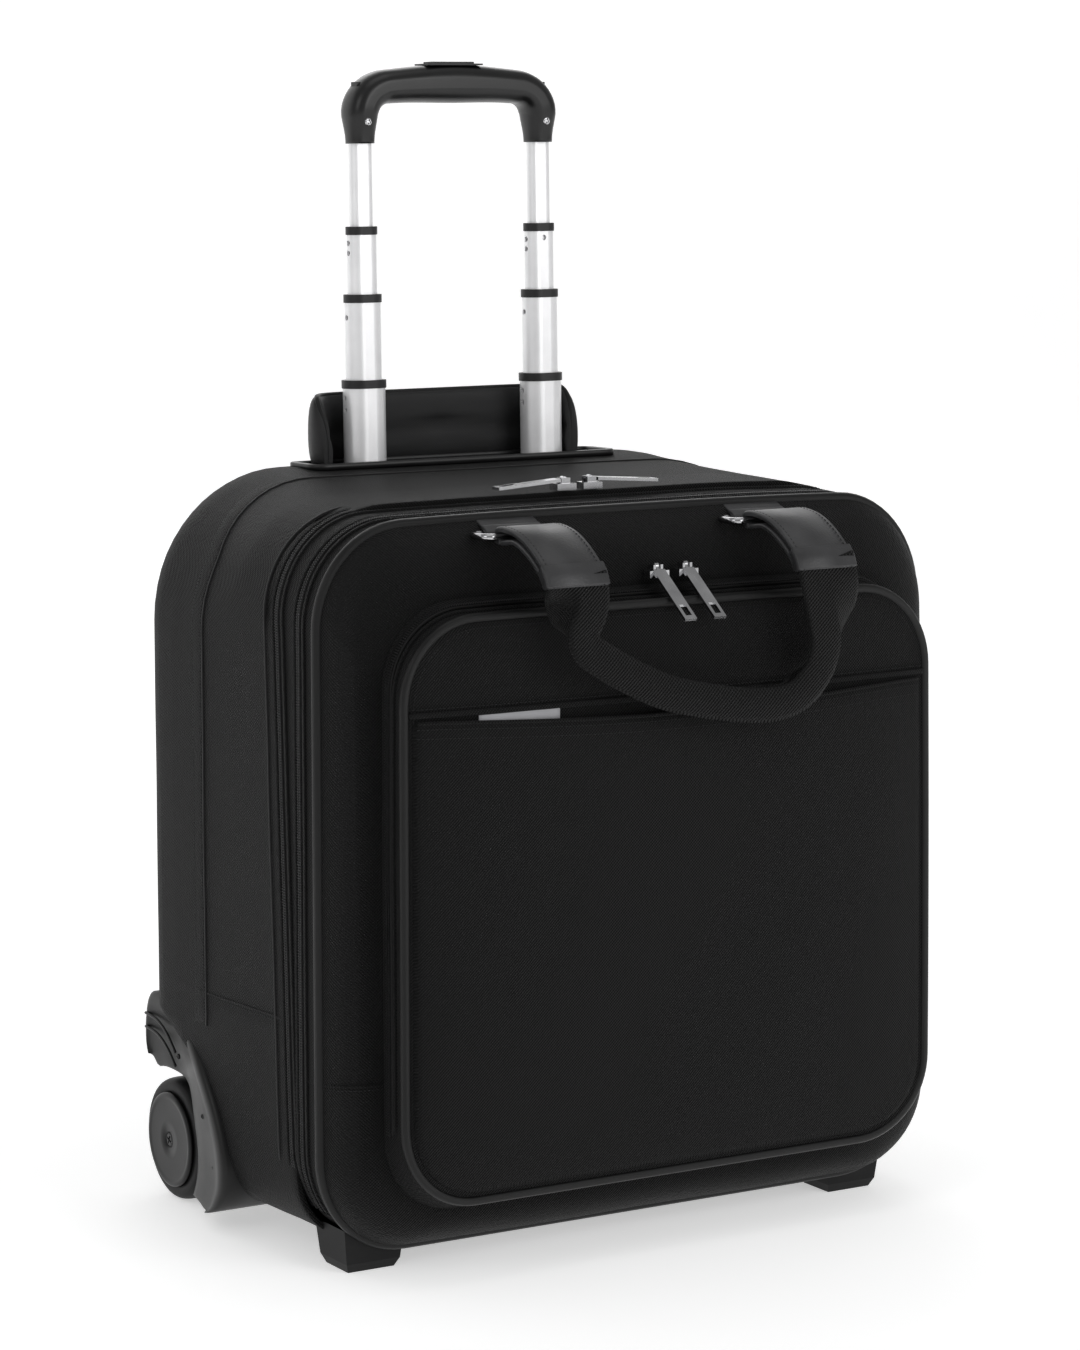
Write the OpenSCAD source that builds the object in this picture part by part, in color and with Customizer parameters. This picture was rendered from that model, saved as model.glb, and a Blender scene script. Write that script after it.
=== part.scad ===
// Rolling laptop case: a soft-sided case on two wheels with a telescopic handle.
// The case stands on the plane z = 0 with its front towards -Y.
// Distances "back" are measured from the seam plane of the front piping.

/* [Case] */
// Width of the case across its sides
case_w = 420; // [340:5:520]
// Height of the case from its underside to the top of its front seam
case_h = 418; // [330:5:520]
// Depth from the front piping to the rear face
case_d = 216; // [190:2:280]
// Rise of the top from the front seam to the rear edge
top_rise = 13; // [4:1:20]
// Radius of the corners of the front outline
corner_r = 58; // [45:1:75]
// Radius of the upper corners towards the rear
rear_top_r = 75; // [60:1:90]
// Radius of the lower corners towards the rear
rear_under_r = 40; // [34:1:58]
// Thickness of the fabric and foam walls
wall = 3.5; // [2.5:0.5:5]
// Gap between parts of the case that open away from each other
seam_gap = 0.6; // [0.4:0.1:1.5]

/* [Zips] */
// Depth of the front section, from the piping back to the expander zip
front_rim = 15; // [10:1:22]
// Depth back to the main zip at the foot of the case
main_zip_back = 25; // [24:1:34]
// Backward lean of the main zip line, in degrees
main_zip_lean = 2.2; // [1:0.2:5]
// Width of a closed zip coil
coil_w = 6.5; // [4:0.5:9]
// Height of a coil above the fabric
coil_h = 1.2; // [0.8:0.1:2]
// Height at which the side zips end above the underside
zip_end_h = 20; // [16:1:30]
// Length of a zip pull
pull_len = 46; // [25:1:50]
// Width of a zip pull
pull_w = 8; // [6:0.5:12]
// Thickness of a zip pull
pull_t = 1.8; // [1.2:0.1:3]

/* [Front and pocket] */
// Stand-out of the domed front panel
dome_out = 28; // [20:1:36]
// Distance in from the case's edge to the pocket
pocket_inset = 29; // [26:1:50]
// Distance from the underside to the pocket
pocket_rise = 24; // [20:1:60]
// Distance from the front seam's top down to the pocket's top
pocket_drop = 42; // [34:1:90]
// Radius of the pocket's corners
pocket_r = 46; // [36:1:56]
// Stand-out of the pocket's face from the front seam plane
pocket_out = 56; // [46:1:70]
// Height of the slip pocket's mouth above the underside
slit_h = 308; // [200:2:330]
// Depth of the slip pocket
slip_gap = 5; // [4.5:0.5:8]
// Thickness of the slip pocket's panel
slip_t = 2.5; // [2:0.5:4]
// Radius of the piping cord
piping_r = 3.6; // [2.5:0.1:5]

/* [Carry handle] */
// Distance of each handle ring from the middle
ring_x = 84; // [60:1:120]
// Thickness of the ring's wire
ring_wire = 4.5; // [3:0.5:6]
// Outside width of a ring
ring_w = 58; // [50:1:70]
// Outside depth of a ring
ring_depth = 22; // [16:1:30]
// Width of the webbing
strap_w = 38; // [30:1:40]
// Thickness of the folded webbing
strap_t = 6; // [4:0.5:8]
// Reach of the handle's grip in front of the front seam plane
strap_reach = 86; // [78:1:100]
// Drop of the grip's lowest edge below the rings
strap_drop = 109; // [90:1:130]

/* [Trolley] */
// Distance of each trolley tube from the middle
tube_x = 63; // [50:1:80]
// Distance from the front seam back to the tubes at the top of the case
tube_back = 197; // [170:1:240]
// Backward lean of the tubes, in degrees
tube_lean = 1.3; // [0:0.1:3]
// Width of the fixed outer tube's oval
tube_w = 30.8; // [28:0.2:36]
// Depth of the fixed outer tube's oval
tube_d = 24.8; // [22:0.2:27]
// Reduction in width and depth from one tube to the next
tube_step = 4; // [3.6:0.1:4.2]
// Wall of each tube
tube_wall = 1.2; // [1:0.1:1.4]
// Length of each sliding tube
tube_len = 215; // [180:1:250]
// Running gap between a plastic bush and the tube that slides in it
bush_gap = 0.35; // [0.3:0.05:0.5]
// Height of a collar
collar_h = 4; // [3:0.5:6]
// Depth of the handle bay below the top of the case
bay_depth = 74; // [66:1:90]
// Width of the handle bay
bay_w = 206; // [190:2:230]
// Collar heights of the three outer stages above the top of the case, as drawn out
stage_tops = [50, 102, 143];
// Height of the grip's underside above the top of the case, as drawn out
grip_rise = 194; // [170:1:260]

/* [Grip] */
// Outside width of the grip
grip_w = 145; // [136:1:180]
// Height of the grip
grip_h = 47; // [40:1:60]
// Depth of the grip from front to back
grip_d = 26; // [22:1:27]
// Travel of the push button
button_travel = 3; // [2:0.5:4]
// Length of the push button
button_l = 30; // [20:1:40]
// Width of the push button
button_w = 10; // [7:0.5:12]

/* [Wheels] */
// Radius of the wheels
wheel_r = 37.5; // [32:0.5:42]
// Distance from the front seam back to the leading edge of a wheel housing
fin_front = 104; // [96:1:112]
// Distance from the front seam back to the axles
axle_back = 200; // [170:1:250]
// Width of a tyre
tyre_w = 24; // [18:1:30]
// Radius of the hub
hub_r = 27; // [22:0.5:30]
// Radius of the axle
axle_r = 4; // [3:0.5:5]
// Running gap between the axle and the bearings
axle_gap = 0.05; // [0.02:0.01:0.1]
// Gap between the tyre and its wheel well
well_gap = 11; // [6:1:14]

/* [Feet] */
// Height of a foot
foot_h = 14; // [10:1:20]
// Length of a foot from front to back
foot_l = 36; // [26:1:44]
// Width of a foot
foot_w = 40; // [28:1:50]

/* [Hidden] */
$fn = 48;
fabric = [0.09, 0.09, 0.10];
lining = [0.30, 0.31, 0.33];
moulded = [0.13, 0.13, 0.14];
soft_touch = [0.16, 0.16, 0.17];
silver = [0.80, 0.81, 0.82];
hull_fn = 32;
skin = 0.2;
clear = 0.3;

// The part is centred front to back between the grip's face and the tyres.
front_y = (strap_reach - axle_back - wheel_r) / 2;
bottom_z = foot_h;
front_top = bottom_z + case_h;
rear_edge = case_d - 18;
zip_end = bottom_z + zip_end_h;
hinge_back = -6;
hinge_z = bottom_z - 2;
axle_z = wheel_r;
cap_x = case_w / 2 - 9;
cap_t = 3;
tyre_out = cap_x - cap_t;
tyre_in = tyre_out - tyre_w;
housing_in = tyre_in - 7;
housing_out = case_w / 2 + 2.5;
function back(d) = front_y + d;
function top_at(d) = front_top + top_rise * min(1, max(0, d) / rear_edge);
function zip_back(z) = main_zip_back + z * tan(main_zip_lean);

// ---- Shared shapes ----

// A rounded rectangle standing on its lower edge, in width and height.
module round_rect(w, z0, z1, r) {
    translate([r - w / 2, z0]) square([w - 2 * r, z1 - z0]);
    translate([-w / 2, z0 + r]) square([w, z1 - z0 - 2 * r]);
    for (x = [-1, 1], z = [z0 + r, z1 - r])
        translate([x * (w / 2 - r), z]) circle(r);
}

// Stands a flat outline up between two distances back.
module stand(d0, d1) {
    translate([0, back(d1), 0]) rotate([90, 0, 0]) linear_extrude(d1 - d0) children();
}

// The case's outline as a thin slab at one distance back. Its insets are, in order:
// side, top, underside, radius of the top corners and radius of the lower corners.
module case_slab(d, i) {
    w = case_w / 2 - i[0];
    stand(d, d + skin) for (x = [-1, 1]) {
        translate([x * (w - i[3]), top_at(d) - i[1] - i[3]]) circle(i[3], $fn = hull_fn);
        translate([x * (w - i[4]), bottom_z + i[2] + i[4]]) circle(i[4], $fn = hull_fn);
    }
}
module between_slabs(d0, i0, d1, i1) {
    hull() {
        case_slab(d0, i0);
        case_slab(d1, i1);
    }
}
function grow(i, e) = [i[0] + e, i[1] + e, i[2] + e, i[3] - e, i[4] - e];
full = [0, 0, 0, corner_r, corner_r];

// The room behind the main zip line, which leans back.
module behind_main_zip(gap) {
    translate([0, back(main_zip_back) + gap, 0]) rotate([-main_zip_lean, 0, 0])
        translate([-case_w, 0, -20]) cube([2 * case_w, 2 * case_d, 2 * case_h]);
}

// A frame that follows the case's outline, for zips and bands.
module outline_frame(d0, d1, out, inn, top) {
    difference() {
        stand(d0, d1) round_rect(case_w + 2 * out, bottom_z - out, top + out, corner_r + out);
        stand(d0 - 1, d1 + 1)
            round_rect(case_w - 2 * inn, bottom_z + inn, top - inn, corner_r - inn);
        translate([-case_w, back(d0 - 2), -10]) cube([2 * case_w, d1 - d0 + 4, zip_end + 10]);
    }
}

// A stadium outline with its long side across the case.
module oval(w, d) {
    square([w - d, d], center = true);
    for (x = [-1, 1]) translate([x * (w - d) / 2, 0]) circle(d / 2);
}

// ---- Rear section ----

rear_d = [main_zip_back - 8, case_d - 56, rear_edge, case_d - skin];
rear_i = [full, [0, 0, 0, rear_top_r, rear_under_r],
    [12, 1, 8, rear_top_r - 6, rear_under_r - 4], [40, 5, 30, rear_top_r - 30, rear_under_r - 10]];
inner_d = [main_zip_back - 12, case_d - 58, rear_edge - wall, case_d - wall - skin];

module rear_shell() {
    color(fabric) difference() {
        union() {
            for (k = [0:2]) between_slabs(rear_d[k], rear_i[k], rear_d[k + 1], rear_i[k + 1]);
        }
        for (k = [0:2])
            between_slabs(inner_d[k], grow(rear_i[k], wall), inner_d[k + 1], grow(rear_i[k + 1], wall));
        ahead_of_main_zip();
        trolley() bay_room(bay_t);
        for (s = [-1, 1]) {
            housing_room(s, clear);
            translate([s * housing_in, back(axle_back), axle_z]) rotate([0, s * 90, 0])
                translate([0, 0, -axle_head_t - clear])
                    cylinder(axle_head_t + 2 * clear, r = axle_head_r + clear);
        }
        translate([-case_w, back(-20), -20])
            cube([2 * case_w, main_zip_back + 65, bottom_z + wall + 20 + clear]);
    }
}

// Everything in front of the main zip line.
module ahead_of_main_zip() {
    translate([0, back(main_zip_back) + seam_gap, 0]) rotate([-main_zip_lean, 0, 0])
        translate([-case_w, -2 * case_d, -20]) cube([2 * case_w, 2 * case_d, 2 * case_h]);
}

pan_front = 5;
pan_rear = main_zip_back + 45;
module bottom_panel() {
    color(fabric) difference() {
        union() {
            stand(pan_front, main_zip_back) round_rect(case_w, bottom_z, front_top, corner_r);
            stand(main_zip_back - 1, pan_rear) intersection() {
                round_rect(case_w, bottom_z, front_top, corner_r);
                translate([-case_w, bottom_z]) square([2 * case_w, wall]);
            }
        }
        stand(pan_front - 1, main_zip_back)
            round_rect(case_w - 2 * wall, bottom_z + wall, front_top - wall, corner_r - wall);
        translate([-case_w, back(-20), zip_end - seam_gap]) cube([2 * case_w, case_d, 2 * case_h]);
    }
}

board_t = 3;
board_back = case_d - wall - board_t;
board_w = case_w - 124;
board_low = bottom_z + 42;
module back_board() {
    color(lining) difference() {
        stand(board_back, board_back + board_t)
            round_rect(board_w, board_low, top_at(case_d) - bay_depth - 12, 10);
        bracket_bores(screw_r);
    }
}

sleeve_t = 10;
sleeve_gap = 26;
sleeve_w = 2 * (housing_in - 3);
sleeve_h = case_h * 0.62;
sleeve_back = 124;
sleeve_low = bottom_z + wall + 4;
// A padded pocket for the laptop: a front pad on a floor, in front of the tubes.
module laptop_sleeve() {
    color(lining) difference() {
        stand(sleeve_back, sleeve_back + sleeve_gap + 2 * sleeve_t)
            round_rect(sleeve_w, sleeve_low, sleeve_low + sleeve_h, 12);
        stand(sleeve_back + sleeve_t, sleeve_back + sleeve_t + sleeve_gap)
            translate([-sleeve_w / 2 + sleeve_t, sleeve_low + sleeve_t])
                square([sleeve_w - 2 * sleeve_t, sleeve_h + 40]);
    }
}

sleeve_top = sleeve_low + sleeve_h;
module sleeve_strap() {
    color(moulded) translate([-20, back(sleeve_back - 2.5), sleeve_top - 50]) {
        cube([40, 2, 52.5]);
        translate([0, 0, 50.5]) cube([40, sleeve_gap + 2 * sleeve_t + 2, 2]);
    }
}

// ---- Trolley ----

deck_z = top_at(tube_back);
// Places parts in the trolley's own frame: its origin is on the tubes at the top of the case.
module trolley() {
    translate([0, back(tube_back), deck_z]) rotate([-tube_lean, 0, 0]) children();
}

module both_tubes() {
    for (s = [-1, 1]) translate([s * tube_x, 0, 0]) children();
}

bay_d = grip_d + 3;
bay_t = 1.5;
module bay_room(more) {
    translate([-bay_w / 2 - more, -bay_d / 2 - more, -bay_depth - more])
        cube([bay_w + 2 * more, bay_d + 2 * more, bay_depth + 40]);
}

fixed_top = -bay_depth + 6;
tube_foot = 38;
fixed_len = deck_z - bottom_z - tube_foot + fixed_top;
module bay_cup() {
    color(moulded) trolley() difference() {
        translate([-bay_w / 2 - bay_t, -bay_d / 2 - bay_t, -bay_depth - bay_t])
            cube([bay_w + 2 * bay_t, bay_d + 2 * bay_t, bay_depth - 2]);
        bay_room(0);
        both_tubes() translate([0, 0, -bay_depth - 5]) linear_extrude(20) oval(tube_w, tube_d);
    }
}

// One tube, open at both ends, with lock holes in its narrow side.
module tube(k, top, len, holes) {
    w = tube_w - k * tube_step;
    d = tube_d - k * tube_step;
    difference() {
        translate([0, 0, top - len]) linear_extrude(len) oval(w, d);
        translate([0, 0, top - len - 1]) linear_extrude(len + 2)
            oval(w - 2 * tube_wall, d - 2 * tube_wall);
        for (h = holes) translate([-w / 2 - 3, 0, top - h]) rotate([0, 90, 0]) cylinder(6, r = 1.7);
    }
}

// A collar round the top of tube k, whose mouth guides tube k + 1.
module collar(k, top) {
    w = tube_w - k * tube_step;
    d = tube_d - k * tube_step;
    difference() {
        translate([0, 0, top - collar_h]) linear_extrude(collar_h + 1) oval(w + 1.4, d + 1.4);
        translate([0, 0, top - collar_h - 1]) linear_extrude(collar_h + 1) oval(w, d);
        translate([0, 0, top - 1]) linear_extrude(3)
            oval(w - tube_step + 2 * bush_gap, d - tube_step + 2 * bush_gap);
    }
}

bush_h = 6;
// A ring below the foot of tube k that slides in tube k - 1.
module slide_bush(k, foot) {
    w = tube_w - k * tube_step;
    d = tube_d - k * tube_step;
    fit = tube_step - 2 * tube_wall - 2 * bush_gap;
    difference() {
        translate([0, 0, foot - bush_h]) linear_extrude(bush_h) oval(w + fit, d + fit);
        if (k < 4) translate([0, 0, foot - bush_h - 1]) linear_extrude(bush_h + 2)
            oval(w - 2 * tube_wall, d - 2 * tube_wall);
    }
}

stage_pitch = [[10, 17], [13], [9, 15], []];
stage_top = concat(stage_tops, [grip_rise + 24]);
module stage_tubes(k) {
    color(silver) trolley() difference() {
        both_tubes() tube(k, stage_top[k - 1], tube_len, stage_pitch[k - 1]);
        if (k == 3) translate([tube_x, 0, stage_top[2] - 8]) front_bore(1.7);
        if (k == 4) both_tubes() translate([0, 0, grip_rise + screw_h]) front_bore(grip_screw_r);
    }
}
module front_bore(r) {
    translate([0, -tube_d, 0]) rotate([-90, 0, 0]) cylinder(tube_d, r = r);
}
module stage_bushes(k) {
    foot = stage_top[k - 1] - tube_len;
    color(moulded) trolley() both_tubes() {
        slide_bush(k, foot);
        if (k < 4) collar(k, stage_top[k - 1]);
    }
}

module outer_tubes() {
    color(silver) trolley() both_tubes() tube(0, fixed_top, fixed_len, []);
}
module outer_collars() {
    color(moulded) trolley() both_tubes() collar(0, fixed_top);
}

bracket_h = 22;
bracket_t = 3;
bracket_plate = 4;
bracket_seat = board_back - 9;
bracket_z = deck_z + fixed_top - fixed_len + bracket_h / 2 - bracket_plate;
screw_r = 2;
module bracket_bores(r) {
    for (x = [-25, 25]) translate([x, back(bracket_seat) - 30, bracket_z])
        rotate([-90, 0, 0]) cylinder(80, r = r);
}
// Two sockets for the feet of the fixed tubes, on a bar that is screwed to the back board.
module tube_bracket() {
    foot = fixed_top - fixed_len;
    color(moulded) difference() {
        trolley() difference() {
            union() {
                both_tubes()
                    translate([-tube_w / 2 - bracket_t, -tube_d / 2 - bracket_t, foot - bracket_plate])
                    cube([tube_w + 2 * bracket_t, tube_d + 40, bracket_h]);
                translate([-tube_x, tube_d / 2 - 2, foot - bracket_plate])
                    cube([2 * tube_x, 40, bracket_h]);
            }
            both_tubes() translate([0, 0, foot]) linear_extrude(bracket_h) oval(tube_w, tube_d);
        }
        stand(board_back, 2 * case_d) translate([-case_w, 0]) square([2 * case_w, case_h]);
        bracket_bores(screw_r);
        for (x = [-25, 25]) translate([x, back(bracket_seat) - 30, bracket_z])
            rotate([-90, 0, 0]) cylinder(30, r = 2 * screw_r + 0.5);
    }
}
module bracket_screws() {
    color(silver) for (x = [-25, 25]) translate([x, back(bracket_seat), bracket_z])
        rotate([-90, 0, 0]) {
            translate([0, 0, -2.4]) cylinder(2.4, r = 2 * screw_r);
            cylinder(board_back + board_t - bracket_seat, r = screw_r);
        }
}

flap_t = 12;
flap_h = 41;
flap_reach = 30;
flap_gap = 0.8;
flap_y = case_d + 8;
// The padded bay cover, standing open behind the tubes and curling round them.
module handle_flap() {
    z0 = top_at(case_d) + flap_gap;
    color(fabric) translate([0, back(flap_y), z0]) difference() {
        linear_extrude(flap_h) difference() {
            translate([-bay_w / 2 - 2, -flap_reach - flap_t]) square([bay_w + 4, flap_reach + flap_t]);
            translate([-bay_w / 2 - 3, -flap_reach - flap_t - 1]) square([8, 8]);
            translate([bay_w / 2 - 5, -flap_reach - flap_t - 1]) square([8, 8]);
            translate([-bay_w / 2 + 10, -flap_reach - flap_t - 1])
                square([bay_w - 20, flap_reach + 1]);
        }
        translate([-bay_w, -2 * flap_reach - flap_t, flap_h - 16]) cube([bay_w / 2 + 2, 60, 40]);
        translate([bay_w / 2 - 2, -2 * flap_reach - flap_t, flap_h - 16]) cube([60, 60, 40]);
    }
}

// ---- Grip ----

leg_w = 18.5;
bar_h = 22;
belly = 4;
grip_t = 3;
split_h = grip_h - 11;
screw_h = 13;
grip_screw_r = 1.5;
bore_w = tube_w - 4 * tube_step;
bore_d = tube_d - 4 * tube_step;
// The grip's outline seen from the front, above the bottom of its legs.
module grip_outline() {
    difference() {
        union() {
            translate([-grip_w / 2, 0]) square([grip_w, grip_h - 18]);
            translate([18 - grip_w / 2, 0]) square([grip_w - 36, grip_h - 1.5]);
            for (x = [-1, 1]) translate([x * (grip_w / 2 - 18), grip_h - 19.5]) circle(18);
            translate([-25, grip_h - 4]) square([50, 4]);
        }
        translate([leg_w - grip_w / 2, -1]) square([grip_w - 2 * leg_w, grip_h - bar_h - belly - 7]);
        translate([leg_w + 8 - grip_w / 2, -1])
            square([grip_w - 2 * leg_w - 16, grip_h - bar_h - belly + 1]);
        for (x = [-1, 1])
            translate([x * (grip_w / 2 - leg_w - 8), grip_h - bar_h - belly - 8]) circle(8);
    }
}

yoke_room = [2 * tube_x + 9, 9, 12];
module grip_solid() {
    difference() {
        translate([0, grip_d / 2, 0]) rotate([90, 0, 0]) linear_extrude(grip_d) grip_outline();
        both_tubes() translate([0, 0, -1]) linear_extrude(25.1) oval(bore_w + 0.1, bore_d + 0.1);
        translate([-yoke_room[0] / 2, -yoke_room[1] / 2, split_h - 9])
            cube([yoke_room[0], yoke_room[1], yoke_room[2]]);
        both_tubes() translate([0, 0, 20]) cylinder(12, r = 2.6);
        translate([-button_l / 2 - 1, -button_w / 2 - 1, split_h])
            cube([button_l + 2, button_w + 2, 30]);
        both_tubes() translate([0, 0, screw_h]) front_bore(grip_screw_r);
    }
}

module grip_upper() {
    color(soft_touch) trolley() translate([0, 0, grip_rise]) intersection() {
        grip_solid();
        translate([-grip_w, -grip_d, split_h]) cube([2 * grip_w, 2 * grip_d, grip_h]);
    }
}
module grip_lower() {
    color(soft_touch) trolley() translate([0, 0, grip_rise]) difference() {
        grip_solid();
        translate([-grip_w, -grip_d, split_h]) cube([2 * grip_w, 2 * grip_d, grip_h]);
        translate([-button_l / 2 - 0.4, -button_w / 2 - 0.4, split_h - button_travel])
            cube([button_l + 0.8, button_w + 0.8, button_travel + 1]);
    }
}
module grip_screws() {
    color(silver) trolley() translate([0, 0, grip_rise + screw_h]) both_tubes()
        translate([0, -grip_d / 2, 0]) rotate([-90, 0, 0]) {
            translate([0, 0, -0.8]) cylinder(0.8, r = 2.8);
            cylinder(grip_d / 2 - bore_d / 2 + tube_wall + 1, r = grip_screw_r);
        }
}
module button_bezel() {
    color(moulded) trolley() translate([0, 0, grip_rise + grip_h]) difference() {
        translate([-button_l / 2 - 4, -button_w / 2 - 4, 0]) cube([button_l + 8, button_w + 8, 1]);
        translate([-button_l / 2 - 0.4, -button_w / 2 - 0.4, -1])
            cube([button_l + 0.8, button_w + 0.8, 3]);
    }
}

button_stand = 1.2;
module push_button() {
    low = split_h + 1;
    color(silver) trolley() translate([-button_l / 2, -button_w / 2, grip_rise + low])
        cube([button_l, button_w, grip_h + 1 + button_stand - low]);
}

rod_len = 120;
yoke_h = 4;
module release_yoke() {
    z = grip_rise + split_h - 3;
    color(silver) trolley() {
        translate([-tube_x - 3.5, -3.5, z]) cube([2 * tube_x + 7, 7, yoke_h]);
        both_tubes() translate([0, 0, z - rod_len]) cylinder(rod_len, r = 1.5);
    }
}

spring_r = 2.8;
spring_wire = 0.3;
spring_turns = 3;
spring_h = 5.8;
// A point on the spring's coil, and the small square section swept along it.
function coil_point(t, a) = let (r = spring_r + spring_wire * cos(a))
    [r * cos(360 * spring_turns * t), r * sin(360 * spring_turns * t),
        spring_wire + (spring_h - 2 * spring_wire) * t + spring_wire * sin(a)];
module button_spring() {
    steps = spring_turns * 16;
    sides = 6;
    points = [for (i = [0:steps], j = [0:sides - 1]) coil_point(i / steps, 360 * j / sides)];
    walls = [for (i = [0:steps - 1], j = [0:sides - 1])
        [i * sides + j, i * sides + (j + 1) % sides,
            (i + 1) * sides + (j + 1) % sides, (i + 1) * sides + j]];
    first = [for (j = [0:sides - 1]) sides - 1 - j];
    last = [for (j = [0:sides - 1]) steps * sides + j];
    color(silver) trolley() translate([0, 0, grip_rise + split_h - 8.9])
        polyhedron(points, concat(walls, [first, last]));
}

// ---- Wheels and feet ----

well_r = wheel_r + well_gap;
fin_top = bottom_z + 115;
bumper_back = axle_back + 25;

// The side outline of a wheel housing: a fin that sweeps down and forward from a bumper.
module housing_outline(more, low, well) {
    difference() {
        polygon([
            [back(fin_front + 2) - more, low], [back(fin_front) - more, bottom_z + 16],
            [back(fin_front + 2) - more, bottom_z + 29], [back(fin_front + 5) - more, bottom_z + 42 + more],
            [back(fin_front + 14) - more, bottom_z + 61 + more],
            [back(fin_front + 26) - more, bottom_z + 77 + more],
            [back(fin_front + 43) - more, bottom_z + 92 + more],
            [back(fin_front + 66) - more, bottom_z + 105 + more],
            [back(fin_front + 85), fin_top + more], [back(bumper_back - 10), fin_top + more],
            [back(bumper_back) + more, fin_top - 11], [back(bumper_back) + more, low]
        ]);
        if (well > 0) {
            translate([back(axle_back), axle_z]) circle(well);
            translate([back(axle_back), -1]) square([100, axle_z + well * 0.9]);
            translate([back(axle_back) - well * 0.7, -1]) square([well, axle_z]);
        }
    }
}
module side_plate(s, x0, x1) {
    translate([s > 0 ? x0 : -x1, 0, 0]) rotate([90, 0, 90]) linear_extrude(x1 - x0) children();
}
module housing_room(s, more) {
    side_plate(s, housing_in - more, case_w) housing_outline(more, -20, 0);
}
housing_t = 3.5;
// A moulded shell, open towards the inside of the case except beside the wheel.
module wheel_housing(s) {
    boss_h = 5.5;
    color(moulded) difference() {
        housing_body(s, boss_h);
        translate([s * housing_in - 10, back(axle_back), axle_z]) rotate([0, 90, 0])
            cylinder(20, r = axle_r);
    }
}
// A side plate cut to the rounded lower edge of the case.
module rounded_side(s, x0, x1, e) {
    intersection() {
        side_plate(s, x0, x1) children();
        stand(fin_front - 10, 2 * case_d)
            round_rect(2 * (housing_out - e), bottom_z + e, front_top, rear_under_r - e);
    }
}
module housing_body(s, boss_h) {
    low = bottom_z - 5;
    difference() {
        rounded_side(s, housing_in, housing_out, 0) housing_outline(0, low, well_r);
        rounded_side(s, housing_in - 1, housing_out, housing_t)
            housing_outline(-housing_t, low, well_r + housing_t);
    }
    rounded_side(s, housing_in, housing_in + housing_t, 0) intersection() {
        housing_outline(0, low, 0);
        translate([back(axle_back) - well_r - 1, low])
            square([well_r + 60, axle_z + well_r - low + 1]);
    }
    translate([s * (housing_in + (s > 0 ? 1 : boss_h)), back(axle_back), axle_z])
        rotate([0, 90, 0]) cylinder(boss_h - 1, r = 11);
}
module wheel_housing_left() { wheel_housing(-1); }
module wheel_housing_right() { wheel_housing(1); }

axle_len = cap_x - cap_t - 1 - housing_in;
axle_head_t = 4;
axle_head_r = axle_r + 3;
module axles() {
    color(silver) for (s = [-1, 1]) translate([s * housing_in, back(axle_back), axle_z])
        rotate([0, s * 90, 0]) {
            cylinder(axle_len, r = axle_r);
            translate([0, 0, -axle_head_t]) cylinder(axle_head_t, r = axle_head_r);
        }
}

// Places a wheel part on its axle, drawn outwards along the axle from the tyre's inner face.
module on_axle(s) {
    translate([s * tyre_in, back(axle_back), axle_z]) rotate([0, s * 90, 0]) children();
}
tyre_round = min(7, wheel_r - hub_r - 0.5);
module tyre(s) {
    color(moulded) on_axle(s) rotate_extrude($fn = 96) intersection() {
        union() {
            translate([hub_r, 0]) square([wheel_r - tyre_round - hub_r, tyre_w]);
            translate([hub_r, tyre_round]) square([wheel_r - hub_r, tyre_w - 2 * tyre_round]);
            for (z = [tyre_round, tyre_w - tyre_round])
                translate([wheel_r - tyre_round, z]) circle(tyre_round);
        }
        translate([hub_r, 0]) square([wheel_r, tyre_w]);
    }
}
bearing_r = 10;
bearing_w = 6;
module hub(s) {
    color(moulded) on_axle(s) difference() {
        cylinder(tyre_w, r = hub_r);
        translate([0, 0, -1]) cylinder(tyre_w + 2, r = bearing_r);
        difference() {
            translate([0, 0, 3]) cylinder(tyre_w, r = hub_r - 3);
            translate([0, 0, 2]) cylinder(tyre_w, r = bearing_r + 3);
        }
    }
}
module bearings(s) {
    color(silver) on_axle(s) for (z = [0, tyre_w - bearing_w]) translate([0, 0, z])
        difference() {
            cylinder(bearing_w, r = bearing_r);
            translate([0, 0, -1]) cylinder(bearing_w + 2, r = axle_r + axle_gap);
        }
}
module hub_cap(s) {
    color(moulded) on_axle(s) translate([0, 0, tyre_w]) {
        cylinder(cap_t - 1, r = hub_r + 2);
        translate([0, 0, cap_t - 1]) cylinder(1, r1 = hub_r + 2, r2 = hub_r - 2);
    }
}
module tyre_left() { tyre(-1); }
module tyre_right() { tyre(1); }
module hub_left() { hub(-1); }
module hub_right() { hub(1); }
module hub_cap_left() { hub_cap(-1); }
module hub_cap_right() { hub_cap(1); }
module bearings_left() { bearings(-1); }
module bearings_right() { bearings(1); }

foot_x = case_w / 2 - 42;
foot_back = 18;
module foot(s) {
    color(moulded) difference() {
        translate([s * foot_x, back(foot_back), 0]) hull() {
            linear_extrude(skin) square([foot_w - 10, foot_l - 10], center = true);
            translate([0, 0, foot_h * 0.4]) linear_extrude(skin)
                square([foot_w - 5, foot_l - 4], center = true);
            translate([0, 0, foot_h + 14]) linear_extrude(skin)
                square([foot_w, foot_l], center = true);
        }
        stand(-20, main_zip_back) round_rect(case_w, bottom_z, front_top, corner_r);
        between_slabs(rear_d[0], rear_i[0], rear_d[1], rear_i[1]);
        translate([s * foot_x, back(foot_back), -1]) cylinder(foot_h + 40, r = screw_r);
        translate([s * foot_x, back(foot_back), -1]) cylinder(6, r = 2 * screw_r + 0.5);
    }
}
module foot_left() { foot(-1); }
module foot_right() { foot(1); }
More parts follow.
